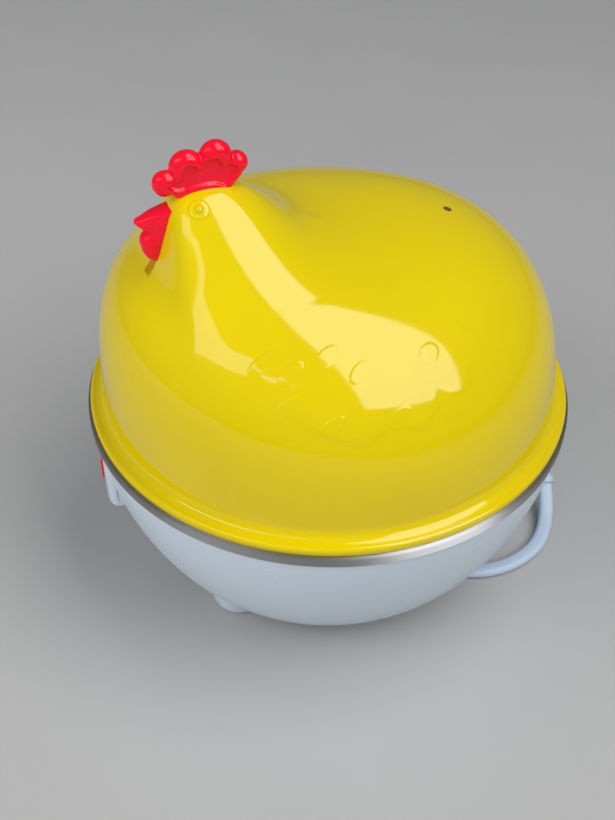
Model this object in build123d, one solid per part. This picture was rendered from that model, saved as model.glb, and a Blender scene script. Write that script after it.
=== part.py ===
from build123d import *
import os
from math import asin, atan2, cos, degrees, exp, hypot, pi, radians, sin, sqrt, tan, tanh

# Electric egg cooker with a hen-shaped lid. Millimetres, +Z up, origin on the floor under the middle
# of the bowl. The switch looks along -Y and the hen's left flank along +X.

# Heights above the floor
SEAT_Z = 72.0            # top of the pan's rim, where the lid's flange sits
BOWL_BOTTOM_Z = 8.0      # underside of the bowl
GASKET_T = 1.2
GASKET_W = 2.0
GASKET_INSET = 0.3

# Heating pan, pressed from sheet
PAN_SHEET = 0.8
RIM_R = 85.0             # outside of the turned-down rim
RIM_SKIRT = 3.5          # height of the bright band
RIM_ROUND = 0.7
MOUTH_R = 77.5
LEDGE_DROP = 8.0         # from the rim down to the ledge that carries the egg rack
LEDGE_W = 8.5
DISH_DEPTH = 20.0        # from the rim down to the dish's floor
DISH_FLOOR_R = 62.0

# Bowl
BOWL_R = 84.0            # at its widest, under the pan's rim
BOWL_ARC = 93.0          # radius of the side in section
BOWL_WIDEST_DROP = 1.0   # widest place below the pan's rim
BOWL_CORNER = 12.0       # radius between side and bottom
BOWL_WALL = 2.4
BOWL_HOLE_R = 27.0       # access hole in the bottom
COVER_R = 37.0
COVER_T = 2.4
COVER_GAP = 0.3
COVER_LAND = 5.0         # thickness of the bottom round the access hole
COVER_LAND_W = 2.0       # land outside the cover
COVER_SCREW_R = 33.0     # circle of the cover's screws
COVER_SCREW_ANGLES = (90.0, 210.0, 330.0)
COVER_BOSS_R = 4.7
COVER_BOSS_H = 6.0       # above the cover

# Feet
FOOT_ANGLES = {"foot_front_left": 38.0, "foot_front_right": -38.0, "foot_rear_left": 152.0,
               "foot_rear_right": -152.0}    # from the front
FOOT_CIRCLE_R = 49.5
FOOT_R = 10.4
FOOT_FLARE = 1.4         # wider at the bowl than at the floor
FOOT_PEG_R = 3.0
FOOT_PEG_RISE = 6.0
FOOT_ROUND = 1.8
FOOT_CROWN = 4.0         # height above the bowl's underside, before it is fitted to the bowl

# Lid
LID_WALL = 2.2
LID_WALL_R = 79.0
FLANGE_R = 84.0
FLANGE_T = 3.0
FLANGE_ROUND = 1.2
FLANGE_FILLET = 3.6
FLANGE_BITE = 0.1        # how far the fillet's end sinks into the wall
LIP_DEPTH = 3.0          # rim below the flange that finds the pan's mouth
LIP_GAP = 0.5
LIP_T = 2.0
LIP_RISE = 1.5           # above the seat, inside the wall
DOME_H = 66.7
FULLNESS = 3.03          # how square the dome's shoulder is
FULL_CHEST = 0.57        # squarer at the chest than at the tail
FULL_ENDS = 0.41         # squarer along the hen than across it
HEAD_RISE = 24.1
HEAD_REAR = 20.5
HEAD_REAR_SLOPE = 12.6
HEAD_FRONT = 56.0
HEAD_FRONT_SLOPE = 3.8
HEAD_SPREAD = 15.7
LID_TURN = 7.0           # the round lid sits turned by this much on the base
LID_RINGS = 18
LID_SECTORS = 36
VENT_R = 1.5
VENT_BACK = 41.0

# Eyes
EYE_FORWARD = 45.6
EYE_SIDE = 8.2
EYE_R = 3.6
EYE_RING = 0.8
EYE_RISE = 0.7
EYE_ROOT = 1.0           # depth of the ring in the wall
PUPIL_R = 1.6
PUPIL_RISE = 0.9

# Comb: lobes as (forward, height above the seat, radius), then its foot and panel as side views
COMB_T = 6.6
COMB_ROUND = 2.2
COMB_FOOT_T = 6.2
COMB_PANEL_T = 4.2       # left between the two recesses
COMB_LOBES = [(54.0, 90.7, 4.1), (46.4, 94.9, 6.0), (37.9, 97.4, 5.4), (31.3, 94.2, 3.9)]
COMB_FOOT = [(54.0, 90.7), (46.4, 94.9), (37.9, 97.4), (31.3, 94.2), (31.9, 91.0), (33.4, 88.0),
             (35.5, 82.0), (50.5, 82.0)]
COMB_PANEL = [(53.0, 90.6), (49.5, 93.5), (46.1, 96.7), (43.2, 94.9), (40.8, 97.0), (38.4, 98.2),
              (36.2, 97.0), (35.2, 94.6), (31.6, 93.9), (33.5, 90.4), (36.0, 89.4), (48.6, 89.2)]
COMB_TAB = (36.0, 47.0)  # along the head
COMB_TAB_Z = (82.5, 90.0)

# Beak, with the wattle as a lobe under it
BEAK_SIDE = [(49.0, 82.6), (52.6, 82.3), (58.4, 81.6), (63.9, 79.5), (59.7, 74.9), (57.5, 72.0), (49.0, 68.0)]
BEAK_ROOT_W = 9.0
BEAK_TIP_W = 3.2
BEAK_TIP_FORWARD = 63.9
BEAK_ROOT_FORWARD = 52.0
WATTLE = (58.7, 70.6, 3.9)
WATTLE_T = 6.4
WATTLE_ROUND = 2.4
BEAK_TAB = (48.0, 57.0)
BEAK_TAB_Z = (68.5, 79.5)
BEAK_SLOT_LOW = 58.6     # open end of the slot, below the wattle
BEAK_SLOT_REACH = (46.0, 68.0)
TAB_T = 2.4
TAB_GAP = 0.15

# Egg rack
RACK_T = 2.0
RACK_GAP = 0.8           # to the pan's mouth
EGG_CIRCLE_R = 44.0
EGG_SEAT_R = 15.5
EGG_SEAT_TOP_R = 18.0
EGG_SEAT_WALL = 1.6
EGG_SEAT_DROP = 4.0
EGGS_ROUND = 6
RACK_LUG_ANGLES = (90.0, 270.0)
RACK_LUG_R = 68.0
RACK_LUG_W = 18.0
RACK_LUG_H = 13.0
RACK_LUG_T = 2.4
RACK_LUG_ROUND = 6.0
RACK_STEAM_R = 2.5
RACK_STEAM_CIRCLE_R = 59.0
RACK_STEAM_ANGLES = (30.0, 150.0, 210.0, 330.0)

# Switch
HOUSING_W = 37.0
HOUSING_FRONT = 82.6     # from the axis to the housing's face
HOUSING_BACK = 60.0
HOUSING_DROP = 28.6      # from the rim down to the housing's bottom
HOUSING_TOP_GAP = 0.3    # to the pan's skirt
HOUSING_ROUND = 3.5
HOUSING_WALL = 2.2
SWITCH_Z = 52.4
SWITCH_W = 22.0          # body in its cut-out
SWITCH_H = 11.2
SWITCH_DEPTH = 12.0
SWITCH_WALL = 1.2
SWITCH_FIT = 0.1
BEZEL_W = 24.0
BEZEL_H = 12.8
BEZEL_T = 0.8            # let into the housing's face
ROCKER_L = 18.0
ROCKER_H = 8.4
ROCKER_FACE = 2.4        # from the pivot to the middle of the face
ROCKER_BACK = 1.2        # from the pivot forward to the back of each wing
ROCKER_HUB_R = 2.0
ROCKER_TILT = 9.0        # each way from level
ROCKER_PIN_R = 1.0
ROCKER_PIN_SPAN = 10.8
ROCKER_PIN_FIT = 0.05
ROCKER_PIVOT = 4.1       # pivot behind the housing's face
BLADE_W = 4.8
BLADE_T = 0.8
BLADE_L = 7.0
BLADE_X = 5.0
BLADE_Z = 48.4

# Heater and its parts
HEATER_R = 38.0
HEATER_W = 9.0
HEATER_H = 7.0
HEATER_GAP = 60.0        # degrees left open at the front
HEATER_PIN_R = 1.6
HEATER_PIN_L = 9.0
STUD_R = 2.0
STUD_END_Z = 24.0
BRACKET_Z = 30.0         # underside of the cross bracket
BRACKET_T = 1.5
BRACKET_W = 14.0
BRACKET_L = 112.0
BRACKET_POST_X = 50.0
POST_R = 4.5
SCREW_R = 1.5
SCREW_GAP = 0.1
SCREW_HEAD_R = 2.9
SCREW_HEAD_H = 1.8
SCREW_BITE = 5.0
NUT_FLATS = 7.0
NUT_H = 3.2
THERMOSTAT_X = 20.0
THERMOSTAT_R = 8.0
THERMOSTAT_H = 9.0
THERMOSTAT_BLADE_Y = 5.5
THERMOSTAT_BLADE_L = 7.2
CLIP_T = 0.8
CLIP_W = 6.0
CLIP_REACH = 6.0         # from the thermostat's middle to the clip's ends
CLIP_FOOT = 8.0
FUSE_X = 36.0
FUSE_Z = 25.0
FUSE_R = 2.0
FUSE_L = 10.0
FUSE_WIRE_R = 0.6
SLEEVE_R = 3.0
SLEEVE_BORE_R = 2.3
SLEEVE_MOUTH_R = 0.9
SLEEVE_END = 1.5
SLEEVE_L = 26.0
LEAD_R = 1.1
LEAD_RUN = 6.5           # straight run at each end of a lead
CRIMP_R = 3.2
CRIMP_L = 13.0
CRIMP_SPACING = 6.8
TAIL_END_Y = 34.0

# Mains cord, flat two-core, with its boot and plug
CORD_W = 5.6
CORD_T = 3.6
BOOT_X = -2.0
BOOT_Z = 27.0
BOOT_SEAT_Y = 76.4       # face that the boot's flange sits on
BOOT_BOSS_R = 8.0
BOOT_BOSS_DEPTH = 14.0
BOOT_FLANGE_R = 6.6
BOOT_FLANGE_T = 2.0
BOOT_NECK_R = 4.4
BOOT_NECK_GAP = 0.1
BOOT_ROOT_R = 5.2
BOOT_END_R = 3.6
BOOT_LEAD = 8.0          # how far each end of the boot runs straight on
BOOT_SECTIONS = 9
CLAMP_Y = 46.0
CLAMP_T = 2.0
CLAMP_L = 23.0
CLAMP_W = 7.0
CLAMP_SPACING = 16.0
CLAMP_POST_R = 3.5
CLAMP_RIB_T = 5.0
COIL_X = -134.0
COIL_Y = 40.0
COIL_Z = 2.9
COIL_R = 26.0            # inmost turn, to the middle of the cord
COIL_HALF_TURNS = 4      # in each layer
COIL_GAP = 0.6           # between neighbouring turns
COIL_END = 27.0          # straight end that enters the plug
TIE_T = 0.8
TIE_W = 8.0
TIE_GAP = 0.4
PLUG_W = 24.0
PLUG_L = 30.0
PLUG_H = 13.0
PLUG_TAIL_W = 11.0
PLUG_TAIL_L = 9.0
PLUG_ROUND = 2.5
PIN_R = 2.0
PIN_L = 19.0
PIN_SPACING = 19.0
PIN_ROUND = 0.8

# Worked out from the sizes above
LEDGE_Z = SEAT_Z - LEDGE_DROP
DISH_Z = SEAT_Z - DISH_DEPTH
UNDER_DISH_Z = DISH_Z - PAN_SHEET
SHELL_TOP_Z = SEAT_Z - PAN_SHEET - GASKET_T
RACK_TOP_Z = LEDGE_Z + RACK_T
BRACKET_TOP_Z = BRACKET_Z + BRACKET_T
FLOOR_IN_Z = BOWL_BOTTOM_Z + BOWL_WALL
HEATER_Z = UNDER_DISH_Z - HEATER_H
HEATER_PIN_Z = HEATER_Z - HEATER_PIN_L
THERMOSTAT_Z = UNDER_DISH_Z - THERMOSTAT_H
PIVOT_Y = ROCKER_PIVOT - HOUSING_FRONT
BEZEL_BACK_Y = BEZEL_T - HOUSING_FRONT
SWITCH_BACK_Y = SWITCH_DEPTH - HOUSING_FRONT
BLADE_END_Y = SWITCH_BACK_Y + BLADE_L
BOOT_IN_Y = BOOT_SEAT_Y - BOOT_BOSS_DEPTH
BOOT_OUT_Y = BOOT_SEAT_Y + BOOT_FLANGE_T
CRIMP_END_Y = TAIL_END_Y - CRIMP_L
CLAMP_Z = BOOT_Z + CORD_T / 2
COIL_PITCH = CORD_W + COIL_GAP
COIL_OUT_R = COIL_R + COIL_HALF_TURNS * COIL_PITCH / 2
COIL_TOP_Z = COIL_Z + CORD_T + COIL_GAP

# Route of the cord from the boot's end to its coil, chosen by hand
CORD_ROUTE = [
    (6.5, 88.0, 12.5), (12.0, 87.4, 8.4), (19.0, 85.5, 4.7), (25.9, 82.3, 2.9), (33.2, 76.6, 2.1),
    (38.6, 68.0, 2.0), (41.8, 58.3, 2.0), (41.6, 48.0, 2.0), (38.2, 38.0, 2.0), (33.0, 26.5, 2.0),
    (24.0, 15.5, 2.0), (10.5, 7.5, 2.0), (-6.0, 2.2, 2.0), (-25.0, -1.5, 2.0), (-44.0, -3.0, 2.0),
    (-66.0, -2.0, 2.2), (-90.0, COIL_Y - COIL_OUT_R - 1.4, 2.6), (COIL_X + 22.0, COIL_Y - COIL_OUT_R, COIL_Z),
    (COIL_X, COIL_Y - COIL_OUT_R, COIL_Z),
]

# Middle places of the inner leads, chosen by hand
LIVE_ROUTE = [(-18.0, 5.0, 21.0), (-22.0, -10.0, 19.5), (-20.0, -26.0, 19.5), (-14.0, -40.0, 21.0),
              (-6.5, -50.0, 34.0)]
SWITCH_ROUTE = [(6.0, -48.0, 38.0), (9.0, -34.0, 30.0), (15.0, -22.0, 31.0)]
FUSE_ROUTE = [(26.0, 22.0, 31.0), (34.0, 24.0, 25.0)]
HEATER_ROUTE = [(31.0, -27.0, 25.0)]
NEUTRAL_ROUTE = [(-9.5, 4.0, 23.5), (-13.0, -12.0, 23.5)]


def around(radius, angle):
    """Plan position at a radius and an angle from the front, towards the hen's left."""
    return radius * sin(radians(angle)), -radius * cos(radians(angle))


def revolved(*points):
    """Solid turned about the vertical axis from (radius, height) points."""
    return revolve(Plane.XZ * make_face(Polyline(*points, close=True)), Axis.Z)


def standing(radius, height):
    """Upright cylinder on its lower face."""
    return Cylinder(radius, height, align=(Align.CENTER, Align.CENTER, Align.MIN))


def lying(radius, start, end, x, z):
    """Cylinder along Y between two places."""
    return Pos(x, (start + end) / 2, z) * Rot(90, 0, 0) * Cylinder(radius, abs(end - start))


def block(x, y, z):
    """Box between two places on each axis."""
    size = (x[1] - x[0], y[1] - y[0], z[1] - z[0])
    return Pos(sum(x) / 2, sum(y) / 2, sum(z) / 2) * Box(*size)


def screw(length):
    """Pan-head screw pointing down, its head standing on z = 0."""
    head = fillet(standing(SCREW_HEAD_R, SCREW_HEAD_H).edges().sort_by(Axis.Z)[-1], SCREW_HEAD_H / 3)
    slot = Pos(0, 0, SCREW_HEAD_H) * Box(2 * SCREW_HEAD_R, SCREW_HEAD_H / 3, SCREW_HEAD_H)
    return head - slot + Pos(0, 0, -length) * standing(SCREW_R, length)


def bend_radii(points):
    """Largest arcs that fit a route's bends."""
    places = [Vector(*p) for p in points]
    radii = []
    for before, here, after in zip(places, places[1:], places[2:]):
        turn = radians((here - before).get_angle(after - here))
        radii.append(0.45 * min((here - before).length, (after - here).length) / tan(turn / 2))
    return radii


def lead(*points):
    """Round insulated lead along a route."""
    path = FilletPolyline(*points, radius=bend_radii(points))
    return sweep(Plane(origin=path @ 0, z_dir=path % 0) * Circle(LEAD_R), path=path)


def flat_cord(path):
    """Flat cord that keeps its broad side level along a path."""
    ahead = path % 0
    plane = Plane(origin=path @ 0, x_dir=Vector(0, 0, 1).cross(ahead), z_dir=ahead)
    section = plane * SlotOverall(CORD_W, CORD_T)
    tube = sweep(section, path=path)
    print("cord length", round(path.length, 1), "volume over section", round(tube.volume / section.area, 1))
    return tube


def hen(angle, climb, inset=0.0):
    """Point of the lid's surface: angle round from the beak, climb from the flange to the back."""
    power = FULLNESS + FULL_CHEST * cos(angle) + FULL_ENDS * cos(2 * angle)
    reach = (LID_WALL_R - inset) * max(cos(climb), 0.0) ** (2 / power)
    height = (DOME_H - inset) * sin(climb) ** (2 / power)
    return Vector(reach * sin(angle), -reach * cos(angle), SEAT_Z + height + head(reach, angle, inset))


def head(reach, angle, inset):
    """Height that the head adds to the dome."""
    forward = reach * cos(angle)
    side = reach * sin(angle)
    rear = tanh((forward - HEAD_REAR) / HEAD_REAR_SLOPE)
    front = tanh((forward - HEAD_FRONT + inset) / HEAD_FRONT_SLOPE)
    return HEAD_RISE * (rear - front) / 2 * exp(-((side / HEAD_SPREAD) ** 2) / 2)


def hen_height(forward, side):
    """Height of the lid's surface over a place on the base."""
    reach = hypot(forward, side)
    angle = atan2(side, forward)
    power = FULLNESS + FULL_CHEST * cos(angle) + FULL_ENDS * cos(2 * angle)
    dome = DOME_H * (1 - (reach / LID_WALL_R) ** power) ** (1 / power)
    return SEAT_Z + dome + head(reach, angle, 0.0)


def hen_solid(inset=0.0):
    """Closed form of the hen, lofted through rings from the flange up to the back."""
    sections = []
    for ring in range(LID_RINGS):
        step = ring / LID_RINGS
        climb = pi / 2 * (3 * step**2 - 2 * step**3)
        points = [hen(2 * pi * k / LID_SECTORS, climb, inset) for k in range(LID_SECTORS)]
        if ring == 0:
            points = [Vector(p.X, p.Y, SEAT_Z) for p in points]
        sections.append(Wire([Edge.make_spline(points, periodic=True)]))
    top = hen(0.0, pi / 2, inset)
    return Solid.make_loft(sections + [Vertex(top.X, top.Y, top.Z)])


def on_lid(part):
    """Turn a piece of the lid to where the lid sits on the base."""
    return Rot(0, 0, LID_TURN) * part


def side_view(points):
    """Face in the hen's side view from (forward, height above the seat) points."""
    return make_face(Polyline(*[(u, SEAT_Z + v) for u, v in points], close=True))


def side_plate(sketch, thickness):
    """Plate standing in the hen's middle plane from a side view."""
    plane = Plane(origin=(0, 0, 0), x_dir=(0, -1, 0), z_dir=(-1, 0, 0))
    return extrude(plane * sketch, thickness / 2, both=True)


def lobe(forward, height, radius, thickness, rounding):
    """Rounded disc standing in the hen's middle plane."""
    disc = Rot(0, 90, 0) * Cylinder(radius, thickness)
    return Pos(0, -forward, SEAT_Z + height) * fillet(disc.edges().filter_by(GeomType.CIRCLE), rounding)


def tab(reach, rise, gap=0.0):
    """Tongue in the hen's middle plane, or with a gap the slot that takes it."""
    x = (-TAB_T / 2 - gap, TAB_T / 2 + gap)
    y = (-reach[1] - gap, -reach[0] + gap)
    return block(x, y, (SEAT_Z + rise[0] - gap, SEAT_Z + rise[1] + gap))


def make_flange():
    """Ring round the lid's foot: flange, fillet up to the wall and the lip that finds the mouth."""
    lip = MOUTH_R - LIP_GAP
    buried = LID_WALL_R - LID_WALL / 2
    touch = LID_WALL_R - FLANGE_BITE
    low = SEAT_Z - LIP_DEPTH
    top = SEAT_Z + FLANGE_T
    outline = Polyline((touch, top + FLANGE_FILLET), (buried, top + FLANGE_FILLET), (buried, SEAT_Z + LIP_RISE),
                       (lip - LIP_T, SEAT_Z + LIP_RISE), (lip - LIP_T, low), (lip, low), (lip, SEAT_Z),
                       (FLANGE_R, SEAT_Z), (FLANGE_R, top), (touch + FLANGE_FILLET, top))
    hollow = CenterArc((touch + FLANGE_FILLET, top + FLANGE_FILLET), FLANGE_FILLET, 180, 90)
    ring = revolve(Plane.XZ * make_face(outline + hollow), Axis.Z)
    outer = [e for e in ring.edges().filter_by(GeomType.CIRCLE) if abs(e.radius - FLANGE_R) < 0.01]
    return fillet(outer, FLANGE_ROUND)


def make_eye(side):
    """Ring and pupil standing on the side of the head."""
    step = 0.1
    slope_u = (hen_height(EYE_FORWARD + step, side) - hen_height(EYE_FORWARD - step, side)) / (2 * step)
    slope_v = (hen_height(EYE_FORWARD, side + step) - hen_height(EYE_FORWARD, side - step)) / (2 * step)
    centre = (side, -EYE_FORWARD, hen_height(EYE_FORWARD, side))
    plane = Plane(origin=centre, z_dir=(-slope_v, slope_u, 1))
    ring = Pos(0, 0, -EYE_ROOT) * standing(EYE_R, EYE_ROOT + EYE_RISE)
    ring -= Pos(0, 0, -EYE_ROOT / 2) * standing(EYE_R - EYE_RING, EYE_ROOT + EYE_RISE)
    pupil = Pos(0, 0, -EYE_ROOT) * standing(PUPIL_R, EYE_ROOT + PUPIL_RISE)
    return plane * (ring + pupil)


def make_lid_shell(body):
    vent = Pos(0, VENT_BACK, SEAT_Z) * standing(VENT_R, DOME_H + HEAD_RISE)
    comb_slot = tab(COMB_TAB, COMB_TAB_Z, TAB_GAP)
    beak_slot = tab(BEAK_SLOT_REACH, (BEAK_SLOT_LOW, BEAK_TAB_Z[1]), TAB_GAP)
    shell = Part() + [body, make_flange(), make_eye(EYE_SIDE), make_eye(-EYE_SIDE)]
    return shell - [hen_solid(LID_WALL), vent, comb_slot, beak_slot]


def make_comb(body):
    comb = side_plate(side_view(COMB_FOOT), COMB_FOOT_T)
    for forward, height, radius in COMB_LOBES:
        comb += lobe(forward, height, radius, COMB_T, COMB_ROUND)
    panel = side_view(COMB_PANEL)
    comb -= side_plate(panel, COMB_T + 2 * COMB_PANEL_T) - side_plate(panel, COMB_PANEL_T)
    return comb - body + tab(COMB_TAB, COMB_TAB_Z)


def make_beak(body):
    beak = side_plate(side_view(BEAK_SIDE), BEAK_ROOT_W)
    root = BEAK_ROOT_W / 2
    tip = BEAK_TIP_W / 2
    back = min(u for u, v in BEAK_SIDE)
    wedge = make_face(Polyline((-root, -back), (-root, -BEAK_ROOT_FORWARD), (-tip, -BEAK_TIP_FORWARD),
                               (tip, -BEAK_TIP_FORWARD), (root, -BEAK_ROOT_FORWARD), (root, -back), close=True))
    beak = beak & Pos(0, 0, SEAT_Z) * extrude(wedge, DOME_H + HEAD_RISE)
    beak += lobe(*WATTLE, WATTLE_T, WATTLE_ROUND)
    return beak - body + tab(BEAK_TAB, BEAK_TAB_Z)


def make_heating_pan():
    """Dish with a ledge for the rack and a rim that turns down over the bowl."""
    inner = MOUTH_R - LEDGE_W
    rise = LEDGE_Z - DISH_Z
    run = inner - DISH_FLOOR_R
    shift = PAN_SHEET * (hypot(run, rise) - run) / rise
    pan = revolved((RIM_R, SEAT_Z - RIM_SKIRT), (RIM_R, SEAT_Z), (MOUTH_R, SEAT_Z), (MOUTH_R, LEDGE_Z),
                   (inner, LEDGE_Z), (DISH_FLOOR_R, DISH_Z), (0, DISH_Z), (0, UNDER_DISH_Z),
                   (DISH_FLOOR_R + shift, UNDER_DISH_Z), (inner + shift, LEDGE_Z - PAN_SHEET),
                   (MOUTH_R + PAN_SHEET, LEDGE_Z - PAN_SHEET), (MOUTH_R + PAN_SHEET, SEAT_Z - PAN_SHEET),
                   (RIM_R - PAN_SHEET, SEAT_Z - PAN_SHEET), (RIM_R - PAN_SHEET, SEAT_Z - RIM_SKIRT))
    crown = [e for e in pan.edges().filter_by(GeomType.CIRCLE)
             if abs(e.radius - RIM_R) < 0.01 and abs(e.center().Z - SEAT_Z) < 0.01]
    return fillet(crown, RIM_ROUND)


def make_pan_gasket():
    outer = BOWL_R - GASKET_INSET
    low = SHELL_TOP_Z
    high = SHELL_TOP_Z + GASKET_T
    return revolved((outer - GASKET_W, low), (outer, low), (outer, high), (outer - GASKET_W, high))


def make_egg_rack():
    """Lift-out tray: a plate with flared egg seats, steam holes and two lugs to lift it by."""
    rack = Pos(0, 0, LEDGE_Z) * standing(MOUTH_R - RACK_GAP, RACK_T)
    seats = [(0.0, 0.0)] + [around(EGG_CIRCLE_R, 360 / EGGS_ROUND * k) for k in range(EGGS_ROUND)]
    depth = EGG_SEAT_DROP + RACK_T
    middle_z = RACK_TOP_Z - depth / 2
    for x, y in seats:
        rack += Pos(x, y, middle_z) * Cone(EGG_SEAT_R + EGG_SEAT_WALL, EGG_SEAT_TOP_R + EGG_SEAT_WALL, depth)
    for x, y in seats:
        rack -= Pos(x, y, middle_z) * Cone(EGG_SEAT_R, EGG_SEAT_TOP_R, depth)
    for angle in RACK_STEAM_ANGLES:
        x, y = around(RACK_STEAM_CIRCLE_R, angle)
        rack -= Pos(x, y, LEDGE_Z) * standing(RACK_STEAM_R, RACK_T)
    lug = Box(RACK_LUG_W, RACK_LUG_T, RACK_LUG_H, align=(Align.CENTER, Align.CENTER, Align.MIN))
    lug = fillet(lug.edges().filter_by(Axis.Y).sort_by(Axis.Z)[-2:], RACK_LUG_ROUND)
    for angle in RACK_LUG_ANGLES:
        rack += Rot(0, 0, angle) * Pos(0, -RACK_LUG_R, RACK_TOP_Z) * lug
    return rack


def bowl_form(inset, top):
    """Solid of the bowl with its surface moved in by an inset, cut level at a height."""
    side_x = BOWL_R - BOWL_ARC
    side_z = SEAT_Z - BOWL_WIDEST_DROP
    corner_z = BOWL_BOTTOM_Z + BOWL_CORNER
    corner_x = side_x + sqrt((BOWL_ARC - BOWL_CORNER) ** 2 - (side_z - corner_z) ** 2)
    join = degrees(atan2(corner_z - side_z, corner_x - side_x))
    end = degrees(asin((SHELL_TOP_Z - side_z) / (BOWL_ARC - inset)))
    corner = CenterArc((corner_x, corner_z), BOWL_CORNER - inset, -90, join + 90)
    side = CenterArc((side_x, side_z), BOWL_ARC - inset, join, end - join)
    brim = side @ 1
    outline = Polyline(corner @ 0, (0, BOWL_BOTTOM_Z + inset), (0, top), (brim.X, top))
    if top > SHELL_TOP_Z:
        outline += Line((brim.X, top), (brim.X, brim.Y))
    return revolve(Plane.XZ * make_face(outline + corner + side), Axis.Z)


def make_housing():
    """Block on the bowl's front that carries the switch, and the hollow inside it."""
    low = SEAT_Z - HOUSING_DROP
    high = SEAT_Z - RIM_SKIRT - HOUSING_TOP_GAP
    half = HOUSING_W / 2
    outer = block((-half, half), (-HOUSING_FRONT, -HOUSING_BACK), (low, high))
    front = outer.faces().sort_by(Axis.Y)[0]
    outer = fillet(front.edges(), HOUSING_ROUND)
    inner = half - HOUSING_WALL
    hollow = block((-inner, inner), (HOUSING_WALL - HOUSING_FRONT, -HOUSING_BACK),
                   (low + HOUSING_WALL, high - HOUSING_WALL))
    return outer, hollow


def make_base_shell():
    """Bowl with the switch housing, the cord's boss, posts for the inner parts and the access hole."""
    housing, hollow = make_housing()
    boss = lying(BOOT_BOSS_R, BOOT_IN_Y, BOOT_SEAT_Y, BOOT_X, BOOT_Z)
    shell = bowl_form(0.0, SHELL_TOP_Z) + housing + boss
    shell -= bowl_form(BOWL_WALL, SHELL_TOP_Z + BOWL_WALL) - boss
    shell -= hollow
    half_w = SWITCH_W / 2 + SWITCH_FIT
    half_h = SWITCH_H / 2 + SWITCH_FIT
    shell -= block((-half_w, half_w), (-RIM_R, SWITCH_BACK_Y), (SWITCH_Z - half_h, SWITCH_Z + half_h))
    half_w = BEZEL_W / 2 + SWITCH_FIT
    half_h = BEZEL_H / 2 + SWITCH_FIT
    shell -= block((-half_w, half_w), (-RIM_R, BEZEL_BACK_Y), (SWITCH_Z - half_h, SWITCH_Z + half_h))
    shell -= lying(BOOT_NECK_R, BOOT_IN_Y, BOOT_SEAT_Y, BOOT_X, BOOT_Z)

    post_h = BRACKET_Z - FLOOR_IN_Z
    for x in (-BRACKET_POST_X, BRACKET_POST_X):
        shell += Pos(x, 0, FLOOR_IN_Z) * standing(POST_R, post_h)
        shell -= Pos(x, 0, BRACKET_Z - SCREW_BITE) * standing(SCREW_R + SCREW_GAP, SCREW_BITE)
    rib = (CLAMP_Y - CLAMP_RIB_T / 2, CLAMP_Y + CLAMP_RIB_T / 2)
    ends = (BOOT_X - CLAMP_SPACING / 2, BOOT_X + CLAMP_SPACING / 2)
    shell += block(ends, rib, (FLOOR_IN_Z, BOOT_Z - CORD_T / 2))
    for x in ends:
        shell += Pos(x, CLAMP_Y, FLOOR_IN_Z) * standing(CLAMP_POST_R, CLAMP_Z - FLOOR_IN_Z)
        shell -= Pos(x, CLAMP_Y, CLAMP_Z - SCREW_BITE) * standing(SCREW_R + SCREW_GAP, SCREW_BITE)

    shell += Pos(0, 0, BOWL_BOTTOM_Z) * standing(COVER_R + COVER_LAND_W, COVER_LAND)
    cover_top = BOWL_BOTTOM_Z + COVER_T
    for angle in COVER_SCREW_ANGLES:
        x, y = around(COVER_SCREW_R, angle)
        shell += Pos(x, y, cover_top) * standing(COVER_BOSS_R, COVER_BOSS_H)
    shell -= Pos(0, 0, BOWL_BOTTOM_Z) * standing(BOWL_HOLE_R, COVER_LAND)
    shell -= Pos(0, 0, BOWL_BOTTOM_Z) * standing(COVER_R + COVER_GAP, COVER_T)
    for angle in COVER_SCREW_ANGLES:
        x, y = around(COVER_SCREW_R, angle)
        shell -= Pos(x, y, cover_top) * standing(SCREW_R + SCREW_GAP, SCREW_BITE)
    for angle in FOOT_ANGLES.values():
        x, y = around(FOOT_CIRCLE_R, angle)
        shell -= Pos(x, y, BOWL_BOTTOM_Z) * standing(FOOT_PEG_R + SCREW_GAP, BOWL_WALL)
    return shell


def make_bottom_cover():
    cover = Pos(0, 0, BOWL_BOTTOM_Z) * standing(COVER_R, COVER_T)
    for angle in COVER_SCREW_ANGLES:
        x, y = around(COVER_SCREW_R, angle)
        cover -= Pos(x, y, BOWL_BOTTOM_Z) * standing(SCREW_R + SCREW_GAP, COVER_T)
    return cover


def make_cover_screws():
    screws = []
    for angle in COVER_SCREW_ANGLES:
        x, y = around(COVER_SCREW_R, angle)
        screws.append(Pos(x, y, BOWL_BOTTOM_Z) * Rot(180, 0, 0) * screw(COVER_T + SCREW_BITE - SCREW_GAP))
    return Compound(children=screws)


def make_foot(angle, bowl):
    """Round foot fitted to the bowl's underside, with a peg through the wall."""
    x, y = around(FOOT_CIRCLE_R, angle)
    height = BOWL_BOTTOM_Z + FOOT_CROWN
    foot = Cone(FOOT_R, FOOT_R + FOOT_FLARE, height, align=(Align.CENTER, Align.CENTER, Align.MIN))
    foot = fillet(foot.edges().sort_by(Axis.Z)[0], FOOT_ROUND)
    peg = Pos(x, y, BOWL_BOTTOM_Z) * standing(FOOT_PEG_R, FOOT_PEG_RISE)
    return Pos(x, y, 0) * foot - bowl + peg


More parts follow.
